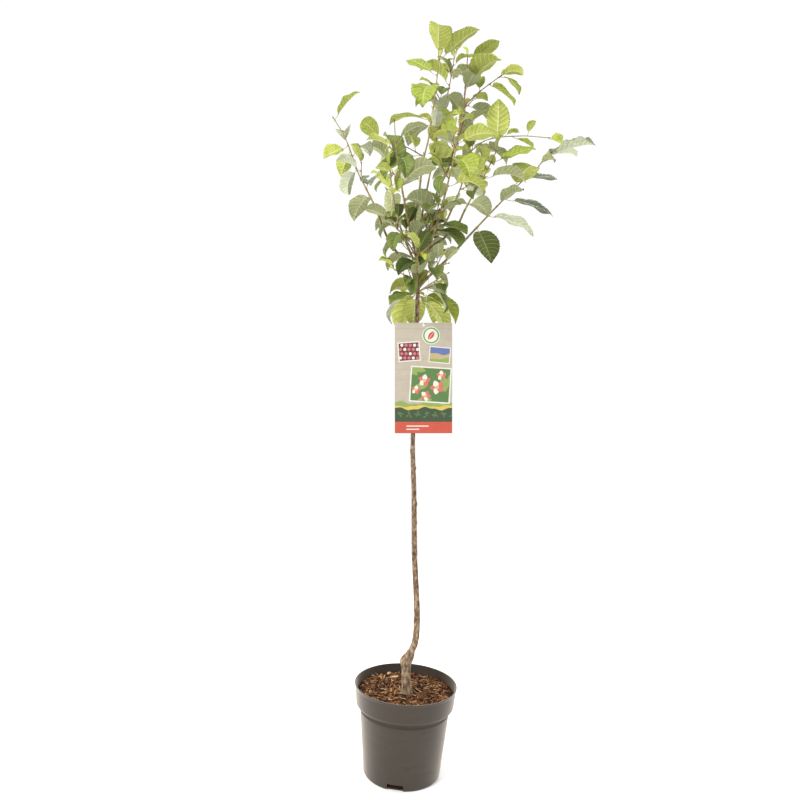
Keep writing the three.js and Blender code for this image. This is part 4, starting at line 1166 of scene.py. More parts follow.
def add_shoot(heap, shoot, leaves, tone):
    """A shoot's bark with a knuckle and a bud at each leaf, and a bud or a cut at its end."""
    steps = max(SHOOT_BARK["steps"], math.ceil(shoot["length"] / SHOOT_BARK["step"]))
    line = curve_line(shoot["route"], steps)
    along = np.concatenate([[0], np.cumsum(np.linalg.norm(np.diff(line, axis=0), axis=1))])
    radii = shoot["foot"] + (shoot["tip"] - shoot["foot"]) * along / along[-1]
    radii *= 1 + SHOOT_BARK["relief"] * waves(line, SHOOT_BARK["wave"], shoot["key"])
    radii += SHOOT_BARK["foot"] * np.exp(-along / SHOOT_BARK["foot_reach"]) * min(1, shoot["foot"] / 2)
    leaves = [leaf for leaf in leaves if leaf["blade"] >= SMALL_LEAF]
    knuckle = SHOOT_BARK["knuckle"] * shoot["foot"]
    for leaf in leaves:
        radii += knuckle * bell((along - leaf["at"]) / SHOOT_BARK["knuckle_reach"])
    heap.add(*tube(line, radii, SHOOT_BARK["sides"][shoot["is_stem"]]), tone)
    for leaf in leaves:
        if leaf["at"] > shoot["length"] - BUD["clear"]:
            continue
        foot, tangent = place_on(shoot["line"], leaf["at"] + BUD["above"])
        aim = leaf_point(leaf, BUD["clear"], 0, 0) - leaf["foot"]
        out = unit(aim - tangent * np.dot(aim, tangent))
        radius = float(np.interp(leaf["at"], along, radii))
        axis = unit(tangent + out * BUD["out"])
        small = min(1, BUD["slim"][0] + shoot["foot"] / BUD["slim"][1])
        foot = foot + out * radius * BUD["sunk"]
        heap.add(*ovoid(foot, axis, BUD["length"] * small, BUD["width"] * small), 3)
    if shoot["foot"] < BUD["end_foot"]:
        tangent = unit(line[-1] - line[-2])
        foot = line[-1] - tangent
        small = min(1, BUD["end_slim"][0] + shoot["foot"] / BUD["end_slim"][1])
        heap.add(*ovoid(foot, tangent, BUD["end_length"] * small, BUD["end_width"] * small), 3)


# Stems with the darker bark, and the sprays whose leaves are joined to one piece
DARK_STEMS = ("leader_right", "leader_rear", "rear_left")
CROWN_PARTS = {
    "left": ("left", "front_left", "spur_left", "inner_left"),
    "right": ("right_low", "right_high", "spur_right"),
    "top_left": ("leader_left", "leader_rear"),
    "top_right": ("leader_right", "rear_right"),
    "middle": ("front_right", "inner_right", "inner_front", "inner_rear", "rear_left", "low", "inner_low"),
}
FOLIAGE_SEED = 77


def build_foliage():
    grown, balls, standing = grow_tree()
    for growth in grown.values():
        growth["leaves"] = [leaf for leaf in growth["leaves"] if leaf["tone"] or not before_gap(leaf)]
    grow_fine(grown, balls, standing)
    draw = seeded(FOLIAGE_SEED)
    surfaces = leaf_materials()
    stalks = Heap()
    twigs = Heap()
    pick = {shoot["key"]: draw() for growth in grown.values() for shoot in growth["shoots"]}
    for part, names in CROWN_PARTS.items():
        blades = Heap()
        for name in names:
            growth = grown[name]
            for leaf in growth["leaves"]:
                grid = FULL_GRID if leaf["blade"] >= SMALL_LEAF else SMALL_GRID
                first = len(LEAF_KINDS) * TONES.index(tone_of(leaf, name, pick))
                blades.add(grid.shape(leaf, draw), grid.faces, (first + grid.kinds).tolist())
                add_stalk(stalks, leaf)
            for shoot in growth["shoots"]:
                leaves = [leaf for leaf in growth["leaves"] if leaf["shoot"] == shoot["key"]]
                stem_tone = int(name in DARK_STEMS)
                twig_tone = 1 + int(pick[shoot["key"]] * 2)
                add_shoot(twigs, shoot, leaves, stem_tone if shoot["is_stem"] else twig_tone)
        blades.piece(f"leaves_{part}", surfaces, "foliage", [f"foliage_{name}" for name in names])
    every = [f"foliage_{name}" for name in MASSES]
    stalks.piece("leaf_stalks", surfaces_of("stalk", "gland"), "foliage", every)
    twig_surfaces = surfaces_of("shoot_olive", "twig_brown", "twig_green", "bud")
    twigs.piece("twigs", twig_surfaces, "young_bark", every)


# Bark: tones from dark furrow to pale patch, each with its place on a scale from 0 to 1
BARK_TONES = (
    (0.33, (0.045, 0.026, 0.015)),
    (0.43, (0.11, 0.066, 0.039)),
    (0.51, (0.18, 0.116, 0.071)),
    (0.56, (0.235, 0.165, 0.105)),
    (0.67, (0.4, 0.305, 0.205)),
)
BOUGH_TONES = (
    (0.34, (0.1, 0.062, 0.03)),
    (0.45, (0.165, 0.12, 0.048)),
    (0.56, (0.24, 0.195, 0.07)),
    (0.68, (0.34, 0.29, 0.12)),
)
PATCHES = {
    "vary": 0.1,
    "grain": 0.8,
    "gloss": 0.2,
    "stretch": (1, 1, 0.5),
    "detail": 8,
    "roughness": 0.62,
    "foot": (0.42, 0.2),
}
# Greatest distance between the rings of the bark
RING_STEP = 2.2
FLARE = {"height": 26, "lobes": 5, "depth": 0.14}
GRAFT = {"z": 257, "spread": 10, "swell": 3.2}
# Relief of the trunk: size and wave of its layers, and where the furrows of the rootstock fade
TRUNK = {
    "sides": 56,
    "coarse": (0.4, 13),
    "fine": (0.22, 4.5),
    "furrows": (0.8, 3.2),
    "furrow_stretch": 4.5,
    "rootstock": 330,
    "furrow_fade": 120,
    "strength": (0.92, 1.12),
    "foot_fade": 3,
    "least": 0.3,
}
# Bud scars and stubs of cut side shoots: height, angle round the trunk in degrees, reach and spread
STUBS = (
    (1084, 20, 1.8, 4.5), (754, 165, 2.2, 4.5), (714, 15, 2.6, 4.0), (690, 195, 1.8, 4.5),
    (629, 25, 2.4, 4.5), (586, 10, 1.8, 4.0), (540, 250, 2.2, 4.0), (470, 120, 1.4, 5.0),
    (432, 300, 2.0, 4.5), (1010, 230, 1.8, 4.0), (880, 290, 2.0, 4.5), (352, 200, 1.6, 5.0),
    (272, 150, 2.0, 7.0), (262, 168, 2.6, 8.0),
)
# A stub's hollow, as shares of its reach and spread, and the swelling round the trunk at its height
STUB = {"hollow": 0.7, "hollow_spread": 0.42, "swell": 0.25, "swell_spread": 2.5}
COLLAR = {"above": 4, "spread": 7, "swell": 0.5}
LENTICELS = {"count": 420, "seed": 12, "wide": (0.22, 0.6), "high": (0.45, 0.9), "reach": (0.2, 0.42)}
# Boughs: a collar at the foot, rings along them, and two layers of relief with size, wave and shift
BOUGH = {
    "sides": 20,
    "collar": 1.9,
    "collar_reach": 7,
    "rings": (0.3, 0.62, 0.985),
    "ring": 0.35,
    "ring_reach": 1.6,
    "coarse": (0.22, 7, 20),
    "fine": (0.14, 2.6, 30),
}


def trunk_radius(t, angles):
    """The trunk's radius, as in the solids: lobes at the root flare and a knob at the graft."""
    place = t * (len(TRUNK_ROUTE) - 1)
    lower = min(math.floor(place), len(TRUNK_ROUTE) - 2)
    share = place - lower
    plain = TRUNK_ROUTE[lower][3] * (1 - share) + TRUNK_ROUTE[lower + 1][3] * share
    z = curve_point(TRUNK_ROUTE, t)[2]
    flare = max(0, 1 - (z - TRUNK_ROUTE[0][2]) / FLARE["height"])
    lobes = 1 + FLARE["depth"] * flare * np.cos(FLARE["lobes"] * angles)
    knob = bell((z - GRAFT["z"]) / GRAFT["spread"]) * np.maximum(0, -np.cos(angles))
    return plain * lobes + GRAFT["swell"] * knob


def trunk_relief(skin, heights, angles, radii):
    """Height of the bark over the plain trunk, for each ring and angle."""
    size, wave = TRUNK["furrows"]
    furrowed = np.clip((TRUNK["rootstock"] - skin[:, 2]) / TRUNK["furrow_fade"], 0, 1)
    relief = TRUNK["coarse"][0] * waves(skin, TRUNK["coarse"][1], 1)
    relief += TRUNK["fine"][0] * waves(skin, TRUNK["fine"][1], 2)
    relief += furrowed * size * waves(skin / np.array([1, 1, TRUNK["furrow_stretch"]]), wave, 3)
    relief = relief.reshape(radii.shape)
    draw = seeded(LENTICELS["seed"])
    for _ in range(LENTICELS["count"]):
        z = between((heights[0], heights[-1]), draw())
        turn = 2 * math.pi * draw()
        wide = between(LENTICELS["wide"], draw())
        high = between(LENTICELS["high"], draw())
        near = np.abs(heights - z) < 4 * high
        mark = bell((apart_by(angles, turn) / wide) ** 2)[None] * bell((heights[near] - z) / high)[:, None]
        relief[near] += between(LENTICELS["reach"], draw()) * mark
    for z, turn, reach, spread in STUBS:
        apart = np.hypot(apart_by(angles, math.radians(turn))[None] * radii, (heights - z)[:, None])
        relief += reach * bell(apart / spread)
        relief -= STUB["hollow"] * reach * bell(apart / (STUB["hollow_spread"] * spread))
        relief += STUB["swell"] * bell((heights - z) / STUB["swell_spread"])[:, None]
    for bough in BOUGHS.values():
        z = bough["route"][0][2] + COLLAR["above"]
        relief += COLLAR["swell"] * bell((heights - z) / COLLAR["spread"])[:, None]
    fade = np.clip((heights - heights[0]) / TRUNK["foot_fade"], TRUNK["least"], 1)
    strength = np.where(heights < TRUNK["rootstock"], TRUNK["strength"][1], TRUNK["strength"][0])
    return relief * (fade * strength)[:, None]


def add_trunk(heap):
    angles = turns(TRUNK["sides"])
    places = []
    spans = len(TRUNK_ROUTE) - 1
    for i in range(spans):
        count = math.ceil((TRUNK_ROUTE[i + 1][2] - TRUNK_ROUTE[i][2]) / RING_STEP)
        places += [(i + j / count) / spans for j in range(count)]
    places.append(1.0)
    centres = np.array([curve_point(TRUNK_ROUTE, t) for t in places])
    radii = np.array([trunk_radius(t, angles) for t in places])
    out = np.stack([np.cos(angles), -np.sin(angles), np.zeros(len(angles))], axis=1)[None]
    skin = (centres[:, None] + out * radii[..., None]).reshape(-1, 3)
    radii = radii + trunk_relief(skin, centres[:, 2], angles, radii)
    skin = (centres[:, None] + out * radii[..., None]).reshape(-1, 3)
    points = np.vstack([skin, centres[:1], centres[-1:]])
    heap.add(points, ring_faces(len(places), len(angles), flip=True), 0)


def add_boughs(heap):
    for index, bough in enumerate(BOUGHS.values()):
        length = length_of(curve_line(bough["route"], SHOOT["points"]))
        steps = math.ceil(length / RING_STEP)
        line = curve_line(bough["route"], steps)
        share = np.arange(steps + 1) / steps
        radii = bough["foot"] + (bough["tip"] - bough["foot"]) * share
        radii += BOUGH["collar"] * np.exp(-(share * length) / BOUGH["collar_reach"])
        for ring in BOUGH["rings"]:
            radii += BOUGH["ring"] * bell((share - ring) * length / BOUGH["ring_reach"])
        points, faces = tube(line, radii, BOUGH["sides"])
        skin = points[:-2]
        relief = np.zeros(len(skin))
        for size, wave, shift in (BOUGH["coarse"], BOUGH["fine"]):
            relief += size * waves(skin, wave, shift + index)
        rings = skin.reshape(len(line), BOUGH["sides"], 3)
        out = (rings - line[:, None]) / radii[:, None, None]
        rings = rings + out * relief.reshape(len(line), BOUGH["sides"])[..., None]
        heap.add(np.vstack([rings.reshape(-1, 3), points[-2:]]), faces, 1)


def patches(name, tones, rough, wave, depth, pale_foot=0.0):
    """A surface with patches of several tones, and paler ones towards the foot of the trunk."""
    look = (PATCHES["vary"], wave, PATCHES["grain"], depth, PATCHES["gloss"], PATCHES["stretch"])
    material = surface(name, tones[0][1], rough, *look)
    tree = material.node_tree
    ramp = next(node for node in tree.nodes if node.type == "VALTORGB")
    stops = ramp.color_ramp.elements
    for number, (position, colour) in enumerate(tones):
        stop = stops[number] if number < 2 else stops.new(position)
        stop.position = position
        stop.color = (*colour, 1)
    mottle = ramp.inputs["Fac"].links[0].from_node
    mottle.inputs["Detail"].default_value = PATCHES["detail"]
    mottle.inputs["Roughness"].default_value = PATCHES["roughness"]
    place = tree.nodes.new("ShaderNodeTexCoord")
    parts = tree.nodes.new("ShaderNodeSeparateXYZ")
    foot = tree.nodes.new("ShaderNodeMapRange")
    foot.inputs["From Min"].default_value = PATCHES["foot"][0]
    foot.inputs["From Max"].default_value = PATCHES["foot"][1]
    foot.inputs["To Max"].default_value = pale_foot
    lighten = tree.nodes.new("ShaderNodeMath")
    link(tree, place.outputs["Object"], parts.inputs["Vector"])
    link(tree, parts.outputs["Z"], foot.inputs["Value"])
    link(tree, mottle.outputs["Fac"], lighten.inputs[0])
    link(tree, foot.outputs["Result"], lighten.inputs[1])
    link(tree, lighten.outputs["Value"], ramp.inputs["Fac"])
    return material


def build_bark():
    heap = Heap()
    add_trunk(heap)
    add_boughs(heap)
    surfaces = [
        patches("bark", BARK_TONES, 0.82, 6, 0.3, 0.08),
        patches("bough_bark", BOUGH_TONES, 0.65, 8, 0.15),
    ]
    heap.piece("bark", surfaces, "bark", ["trunk"] + [f"bough_{name}" for name in BOUGHS])


# Pot and soil, as in the solids
POT = {
    "height": 206,
    "rim": 120,
    "collar_foot": 163,
    "collar_radius": 115,
    "step_foot": 148,
    "body_radius": 105,
    "foot_radius": 89.5,
    "wall": 2,
    "floor": 3,
    "middle": 0.02,
    "dented_from": 80,
    "oval": 0.5,
    "oval_turn": 0.6,
    "sides": 144,
    "crease": 38,
}
SHEEN = {"sheen_weight": 0.7, "sheen_roughness": 0.38, "sheen_tint": (1, 0.9, 0.8, 1)}
NOTCH = {"count": 3, "turn": -100, "width": 38, "height": 14, "depth": 6, "round": 1.6}
# The wall's section: how far in from the widest point and how high the points of the foot's edge and the
# rim's lie, the shares of the step under the collar, and the rings of the body and the collar
FOOT_EDGE = ((22, 0), (6, 0), (2, 0.2), (0.6, 0.8), (0, 2))
RIM_EDGE = ((1, -3.4), (0.2, -2.2), (0, -1), (0.4, -0.2), (1.2, 0), (2.2, -0.1), (3, -0.8))
STEP_CURVE = (
    (0, 0), (0.05, 0.1), (0.2, 0.27), (0.42, 0.44), (0.67, 0.6), (0.87, 0.77), (0.97, 0.91), (1, 1),
)
BODY_RINGS = range(4, 146, 3)
COLLAR_RINGS = range(167, 200, 4)
# Shallow dents and drag marks: angle in degrees, height, half width in degrees, half height, depth
DENTS = (
    (-88, 92, 9, 2.0, 0.9), (-84, 60, 10, 2.4, 0.9), (-92, 121, 24, 5.0, 0.7), (-101, 75, 2.0, 42, 0.3),
    (-60, 40, 14, 2.0, 0.4), (-130, 100, 16, 3.0, 0.4), (30, 80, 18, 3.0, 0.5), (120, 60, 12, 2.5, 0.5),
    (170, 110, 20, 3.0, 0.5),
)


def pot_profile():
    """The wall's section from the foot up the outside, over the rim and down to the floor."""
    foot, body, collar = POT["foot_radius"], POT["body_radius"], POT["collar_radius"]
    low, high, top = POT["step_foot"], POT["collar_foot"], POT["height"]
    wall, floor, middle = POT["wall"], POT["floor"], POT["middle"]
    lean = (POT["rim"] - 1 - collar) / (top - 3 - high)
    section = [(middle, 0)]
    section += [(foot - inward, z) for inward, z in FOOT_EDGE]
    section += [(foot + (body - foot) * z / low, z) for z in BODY_RINGS]
    section += [(body + (collar - body) * out, low + (high - low) * up) for out, up in STEP_CURVE]
    section += [(collar + lean * (z - high), z) for z in COLLAR_RINGS]
    section += [(POT["rim"] - inward, top + up) for inward, up in RIM_EDGE]
    section += [(collar - wall, high - 1), (body - wall, low + 1), (foot - wall, floor), (middle, floor)]
    return section


def cut_notches(pot):
    """The drain notches through the edge of the foot, with rounded tops."""
    cutters = bmesh.new()
    size = (2 * NOTCH["depth"] * MM, NOTCH["width"] * MM, 2 * NOTCH["height"] * MM)
    for i in range(NOTCH["count"]):
        turn = math.radians(NOTCH["turn"] + i * 360 / NOTCH["count"])
        place = Matrix.Rotation(turn, 4, "Z") @ Matrix.Translation((POT["foot_radius"] * MM, 0, 0))
        made = bmesh.ops.create_cube(cutters, size=1, matrix=place @ Matrix.Diagonal((*size, 1)))
        edges = {edge for vert in made["verts"] for edge in vert.link_edges}
        top = [edge for edge in edges if all(vert.co.z > 0 for vert in edge.verts)]
        bmesh.ops.bevel(cutters, geom=top, offset=NOTCH["round"] * MM, segments=3, affect="EDGES")
    cut_mesh = bpy.data.meshes.new("notches")
    cutters.to_mesh(cut_mesh)
    cutters.free()
    cutter = add_object("notches", cut_mesh)
    cut = pot.modifiers.new("cut", "BOOLEAN")
    cut.operation = "DIFFERENCE"
    cut.object = cutter
    cut.solver = "EXACT"
    bpy.context.view_layer.update()
    pot.data = bpy.data.meshes.new_from_object(pot.evaluated_get(bpy.context.evaluated_depsgraph_get()))
    pot.modifiers.clear()
    bpy.data.objects.remove(cutter)


def build_pot():
    profile = pot_profile()
    angles = turns(POT["sides"])
    rings = []
    for radius, z in profile:
        swell = np.zeros(len(angles))
        if radius > POT["dented_from"]:
            for turn, height, wide, high, depth in DENTS:
                off = apart_by(angles, math.radians(turn)) / math.radians(wide)
                swell -= depth * bell(off) * bell((z - height) / high)
            swell += POT["oval"] * np.cos(2 * angles + POT["oval_turn"]) * (z / POT["height"]) ** 3
        rings.append(level_ring(radius + swell, angles, z))
    points = np.vstack(rings + [[[0, 0, 0]], [[0, 0, POT["floor"]]]])
    pot = add_mesh("pot_wall", points * MM, ring_faces(len(profile), len(angles)))
    cut_notches(pot)
    pot.data.shade_smooth()
    pot.data.set_sharp_from_angle(angle=math.radians(POT["crease"]))
    pot.data.materials.clear()
    for material in surfaces_of("pot_plastic", **SHEEN) + surfaces_of("pot_shaded_step"):
        pot.data.materials.append(material)
    # The faces of the step under the collar take the duller copy of the plastic: painted shade below the
    # collar
    for face in pot.data.polygons:
        face.material_index = int(POT["step_foot"] - 2 < face.center.z / MM < POT["collar_foot"] - 3)
    dress(pot, ["pot"])


SOIL = {
    "top": 182,
    "sides": 120,
    "rows": 44,
    "radii": (0, 50, 80, 114.5),
    "rises": (0, 0, 1, 2),
    "lumps": ((1.5, 16), (0.9, 5.5)),
    "calm": 14,
    "calm_fade": 12,
}
# Radius and height of the rings of the body under the bed, clear of the wall and the notches
SOIL_BODY = ((111.4, 162), (101.4, 148), (86.8, 14.4), (83.0, 14.4), (83.0, 3.4))
# Where chips lie: the reach of the bed, the wall, and the trunk's place and radius with room for a chip
BED = {"reach": 112, "wall": 113.5, "trunk": 3, "trunk_room": 15}
CHIPS = {
    "count": 1500,
    "seed": 31,
    "length": (7, 24),
    "width": (2.2, 6.5),
    "thick": (0.8, 2.4),
    "shares": (0.36, 0.34, 0.22, 0.07, 0.01),
    "rise": 0.2,
}
SHREDS = {
    "count": 1300,
    "seed": 57,
    "length": (10, 34),
    "width": (0.8, 1.9),
    "thick": (0.4, 0.9),
    "shares": (0.12, 0.22, 0.28, 0.28, 0.1),
    "rise": 1.2,
}
# Shape of a chip or shred, as shares of its length, width and thickness, with its lean in degrees
SLIVER = {
    "stations": 5,
    "short": 1.6,
    "over_wall": 0.45,
    "over_trunk": 0.3,
    "bend": 0.22,
    "arch": 0.16,
    "arch_from": 0.3,
    "slim": (0.35, 0.8),
    "widths": (0.85, 1.15),
    "heights": (0.8, 1.2),
    "tilt": 44,
    "roll": 70,
    "pile": 3.2,
}
MULCH = ("mulch_dark", "mulch_red", "mulch_brown", "mulch_tan", "mulch_pale")


def soil_height(x, y):
    """Height of the bed: level at the trunk, a little higher towards the wall, with small lumps."""
    radius = math.hypot(x, y)
    plain = float(np.interp(radius, SOIL["radii"], SOIL["rises"]))
    lumps = sum(size * noise.noise(Vector((x, y, 0)) / wave) for size, wave in SOIL["lumps"])
    fade = min(1, max(0, (radius - SOIL["calm"]) / SOIL["calm_fade"]))
    return SOIL["top"] + plain + lumps * fade


def build_bed():
    """A fine bed over a plain body that fills the pot down to its floor."""
    angles = turns(SOIL["sides"])
    rings = []
    for i in range(1, SOIL["rows"] + 1):
        radius = SOIL["radii"][-1] * i / SOIL["rows"]
        ring = [(radius * math.cos(a), radius * math.sin(a)) for a in angles]
        rings.append(np.array([(x, y, soil_height(x, y)) for x, y in ring]))
    rings += [level_ring(radius, angles, z) for radius, z in SOIL_BODY]
    points = np.vstack(rings + [[[0, 0, SOIL["top"]]], [[0, 0, SOIL_BODY[-1][1]]]])
    heap = Heap()
    heap.add(points, ring_faces(len(rings), len(angles), flip=True), 0)
    heap.piece("soil_bed", surfaces_of("peat"), "soil", ["soil"])


def scatter(kind):
    """Bent slivers of bark that lie on the bed, with tones dealt out by share."""
    heap = Heap()
    draw = seeded(kind["seed"])
    stations = np.linspace(-0.5, 0.5, SLIVER["stations"])
    corners = np.array([(-1, -1), (1, -1), (1, 1), (-1, 1)]) / 2
    faces = ring_faces(len(stations), len(corners))
    bounds = np.cumsum(kind["shares"]).tolist()
    made = 0
    while made < kind["count"]:
        radius = BED["reach"] * math.sqrt(draw())
        turn = 2 * math.pi * draw()
        x = radius * math.cos(turn)
        y = radius * math.sin(turn)
        length = between(kind["length"], draw() ** SLIVER["short"])
        over_wall = radius + SLIVER["over_wall"] * length > BED["wall"]
        trunk_room = BED["trunk_room"] + SLIVER["over_trunk"] * length
        if over_wall or math.hypot(x - BED["trunk"], y) < trunk_room:
            continue
        width = between(kind["width"], draw())
        thick = between(kind["thick"], draw())
        bend = SLIVER["bend"] * length * (draw() - 0.5)
        arch = SLIVER["arch"] * length * (draw() - SLIVER["arch_from"])
        slim = between(SLIVER["slim"], draw())
        rings = []
        for place in stations:
            size = 1 - (1 - slim) * (2 * abs(place)) ** 2
            sideways = corners[:, 0] * width * size * between(SLIVER["widths"], draw())
            sideways += bend * 4 * place**2
            upward = corners[:, 1] * thick * between(SLIVER["heights"], draw()) - arch * 4 * place**2
            rings.append(np.stack([np.full(4, place * length), sideways, upward], axis=1))
        shape = np.vstack(rings + [[[-0.5 * length, bend, -arch]], [[0.5 * length, bend, -arch]]])
        tilt = math.radians(SLIVER["tilt"]) * (draw() - 0.5)
        heading = 2 * math.pi * draw()
        roll = math.radians(SLIVER["roll"]) * (draw() - 0.5)
        z = soil_height(x, y) + kind["rise"] * thick + SLIVER["pile"] * draw() ** 2
        lean = Matrix.Rotation(tilt, 3, "Y") @ Matrix.Rotation(roll, 3, "X")
        matrix = np.array(Matrix.Rotation(heading, 3, "Z") @ lean)
        heap.add(shape @ matrix.T + np.array([x, y, z]), faces, bisect.bisect(bounds, draw() * bounds[-1]))
        made += 1
    return heap


def build_soil():
    build_bed()
    mulch = surfaces_of(*MULCH)
    scatter(CHIPS).piece("mulch_chips", mulch, "soil", [], smooth=False)
    scatter(SHREDS).piece("mulch_shreds", mulch, "soil", [], smooth=False)


# Label: a bowed card with a plain printed design, in the card's own frame: across, up, and layer
BOW = {"depth": 2.4, "rest": 0.6, "strip": 8.0, "layer": 0.035, "sunk": 0.05}
INKS = {
    "board": (0.375, 0.33, 0.26),
    "board_line": (0.3, 0.265, 0.21),
    "white": (0.6, 0.57, 0.52),
    "green": (0.07, 0.15, 0.036),
    "light_green": (0.2, 0.275, 0.07),
    "dark_green": (0.028, 0.052, 0.02),
    "yellow": (0.5, 0.38, 0.07),
    "straw": (0.38, 0.3, 0.15),
    "blue": (0.085, 0.12, 0.3),
    "plum": (0.1, 0.024, 0.036),
    "pink": (0.48, 0.12, 0.11),
    "red": (0.43, 0.06, 0.032),
    "card_back": (0.38, 0.35, 0.29),
    "emblem": (0.085, 0.27, 0.06),
}
INK = {name: number for number, name in enumerate(INKS)}
# Look of all inks: roughness, variation and its wave, grain and depth of the relief, and gloss
INK_LOOK = (0.38, 0.05, 14, 1.6, 0.02, 0.5)
INK_COAT = {"coat_weight": 0.15, "coat_roughness": 0.3}
CARD_CORNER = {"radius": 1.5, "steps": 4}
HOLE_SIDES = 20
PRINT_EDGE = 0.15
HILL = {"steps": 30, "wave": 11, "ripple": 4.3, "ripple_share": 0.4}
FLOWER = {"layers": (0, 1, 0, 1, 2), "petal": 0.78, "middle": 0.26, "sides": 14, "top": 3}
PRINTED_LEAF = {"start": 0.02, "end": 0.98, "points": 12}


def on_card(points):
    """From the card's frame to the tree's, with the card's bow: the face looks towards -Y."""
    bow = BOW["depth"] * (1 - (points[:, 1] / HALF_Y) ** 2) - BOW["depth"] * BOW["rest"]
    turn = math.radians(LABEL["turn"])
    x = points[:, 0] * math.cos(turn) + points[:, 1] * math.sin(turn)
    z = -points[:, 0] * math.sin(turn) + points[:, 1] * math.cos(turn)
    y = -points[:, 2] - bow
    return np.stack([x + LABEL["x"], y + LABEL["y"], z + LABEL["z"]], axis=1)


def turned(points, degrees, x, y):
    angle = math.radians(degrees)
    cos = math.cos(angle)
    sin = math.sin(angle)
    return [(px * cos - py * sin + x, px * sin + py * cos + y) for px, py in points]


def box_shape(wide, high):
    return [(-wide / 2, -high / 2), (wide / 2, -high / 2), (wide / 2, high / 2), (-wide / 2, high / 2)]


def round_shape(radius, count=28):
    angles = [2 * math.pi * i / count for i in range(count)]
    return [(radius * math.cos(angle), radius * math.sin(angle)) for angle in angles]


def leaf_shape(length, wide):
    places = np.linspace(PRINTED_LEAF["start"], PRINTED_LEAF["end"], PRINTED_LEAF["points"])
    edge = [(length * t, wide / 2 * float(leaf_width(t))) for t in places]
    return edge + [(x, -y) for x, y in reversed(edge)]


def hill_shape(left, right, base, height, swell, shift):
    top = []
    for x in np.linspace(right, left, HILL["steps"]):
        ripple = HILL["ripple_share"] * swell * math.sin(x / HILL["ripple"] + shift)
        top.append((x, height + swell * math.sin(x / HILL["wave"] + shift) + ripple))
    return [(left, base), (right, base)] + top


def fill(mesh, outline, hole=None, z=0.0):
    """A flat face inside an outline, round a hole if there is one."""
    edges = []
    for loop in (outline, hole or []):
        verts = [mesh.verts.new((x, y, z)) for x, y in loop]
        edges += [mesh.edges.new((verts[i - 1], verts[i])) for i in range(len(verts))]
    bmesh.ops.triangle_fill(mesh, edges=edges, use_beauty=True)
    mesh.normal_update()


def thicken(mesh, depth):
    """Makes a thin solid of a flat face, from the face upwards."""
    grown = bmesh.ops.extrude_face_region(mesh, geom=mesh.faces[:])
    risen = [part for part in grown["geom"] if isinstance(part, bmesh.types.BMVert)]
    bmesh.ops.translate(mesh, verts=risen, vec=(0, 0, depth))
    bmesh.ops.recalc_face_normals(mesh, faces=mesh.faces[:])


def slice_mesh(mesh, place, away, clear=False):
    """Cuts a mesh along a line of the card's plane, and clears what lies beyond it if asked."""
    everything = mesh.verts[:] + mesh.edges[:] + mesh.faces[:]
    if everything:
        bmesh.ops.bisect_plane(
            mesh, geom=everything, plane_co=(*place, 0), plane_no=(*away, 0), clear_outer=clear
        )


def slice_strips(mesh, top):
    """Cuts a mesh into level strips, which follow the card's bow."""
    row = -top + BOW["strip"]
    while row < top:
        slice_mesh(mesh, (0, row), (0, 1))
        row += BOW["strip"]


def take_mesh(mesh, side=1):
    """The points and the triangles of a mesh, turned over for the card's back."""
    mesh.verts.index_update()
    points = np.array([vert.co[:] for vert in mesh.verts])
    return points, [[vert.index for vert in face.verts][::side] for face in mesh.faces]


def card_hole(radius):
    return turned(round_shape(radius, HOLE_SIDES), 0, 0, HALF_Y - LABEL_HOLE["drop"])


def frame_clip(wide, high, degrees, x, y):
    """Cuts that keep a shape inside a turned frame."""
    clip = []
    for ax, ay, reach in ((1, 0, wide / 2), (-1, 0, wide / 2), (0, 1, high / 2), (0, -1, high / 2)):
        away = turned([(ax, ay)], degrees, 0, 0)[0]
        clip.append(((x + away[0] * reach, y + away[1] * reach), away))
    return clip


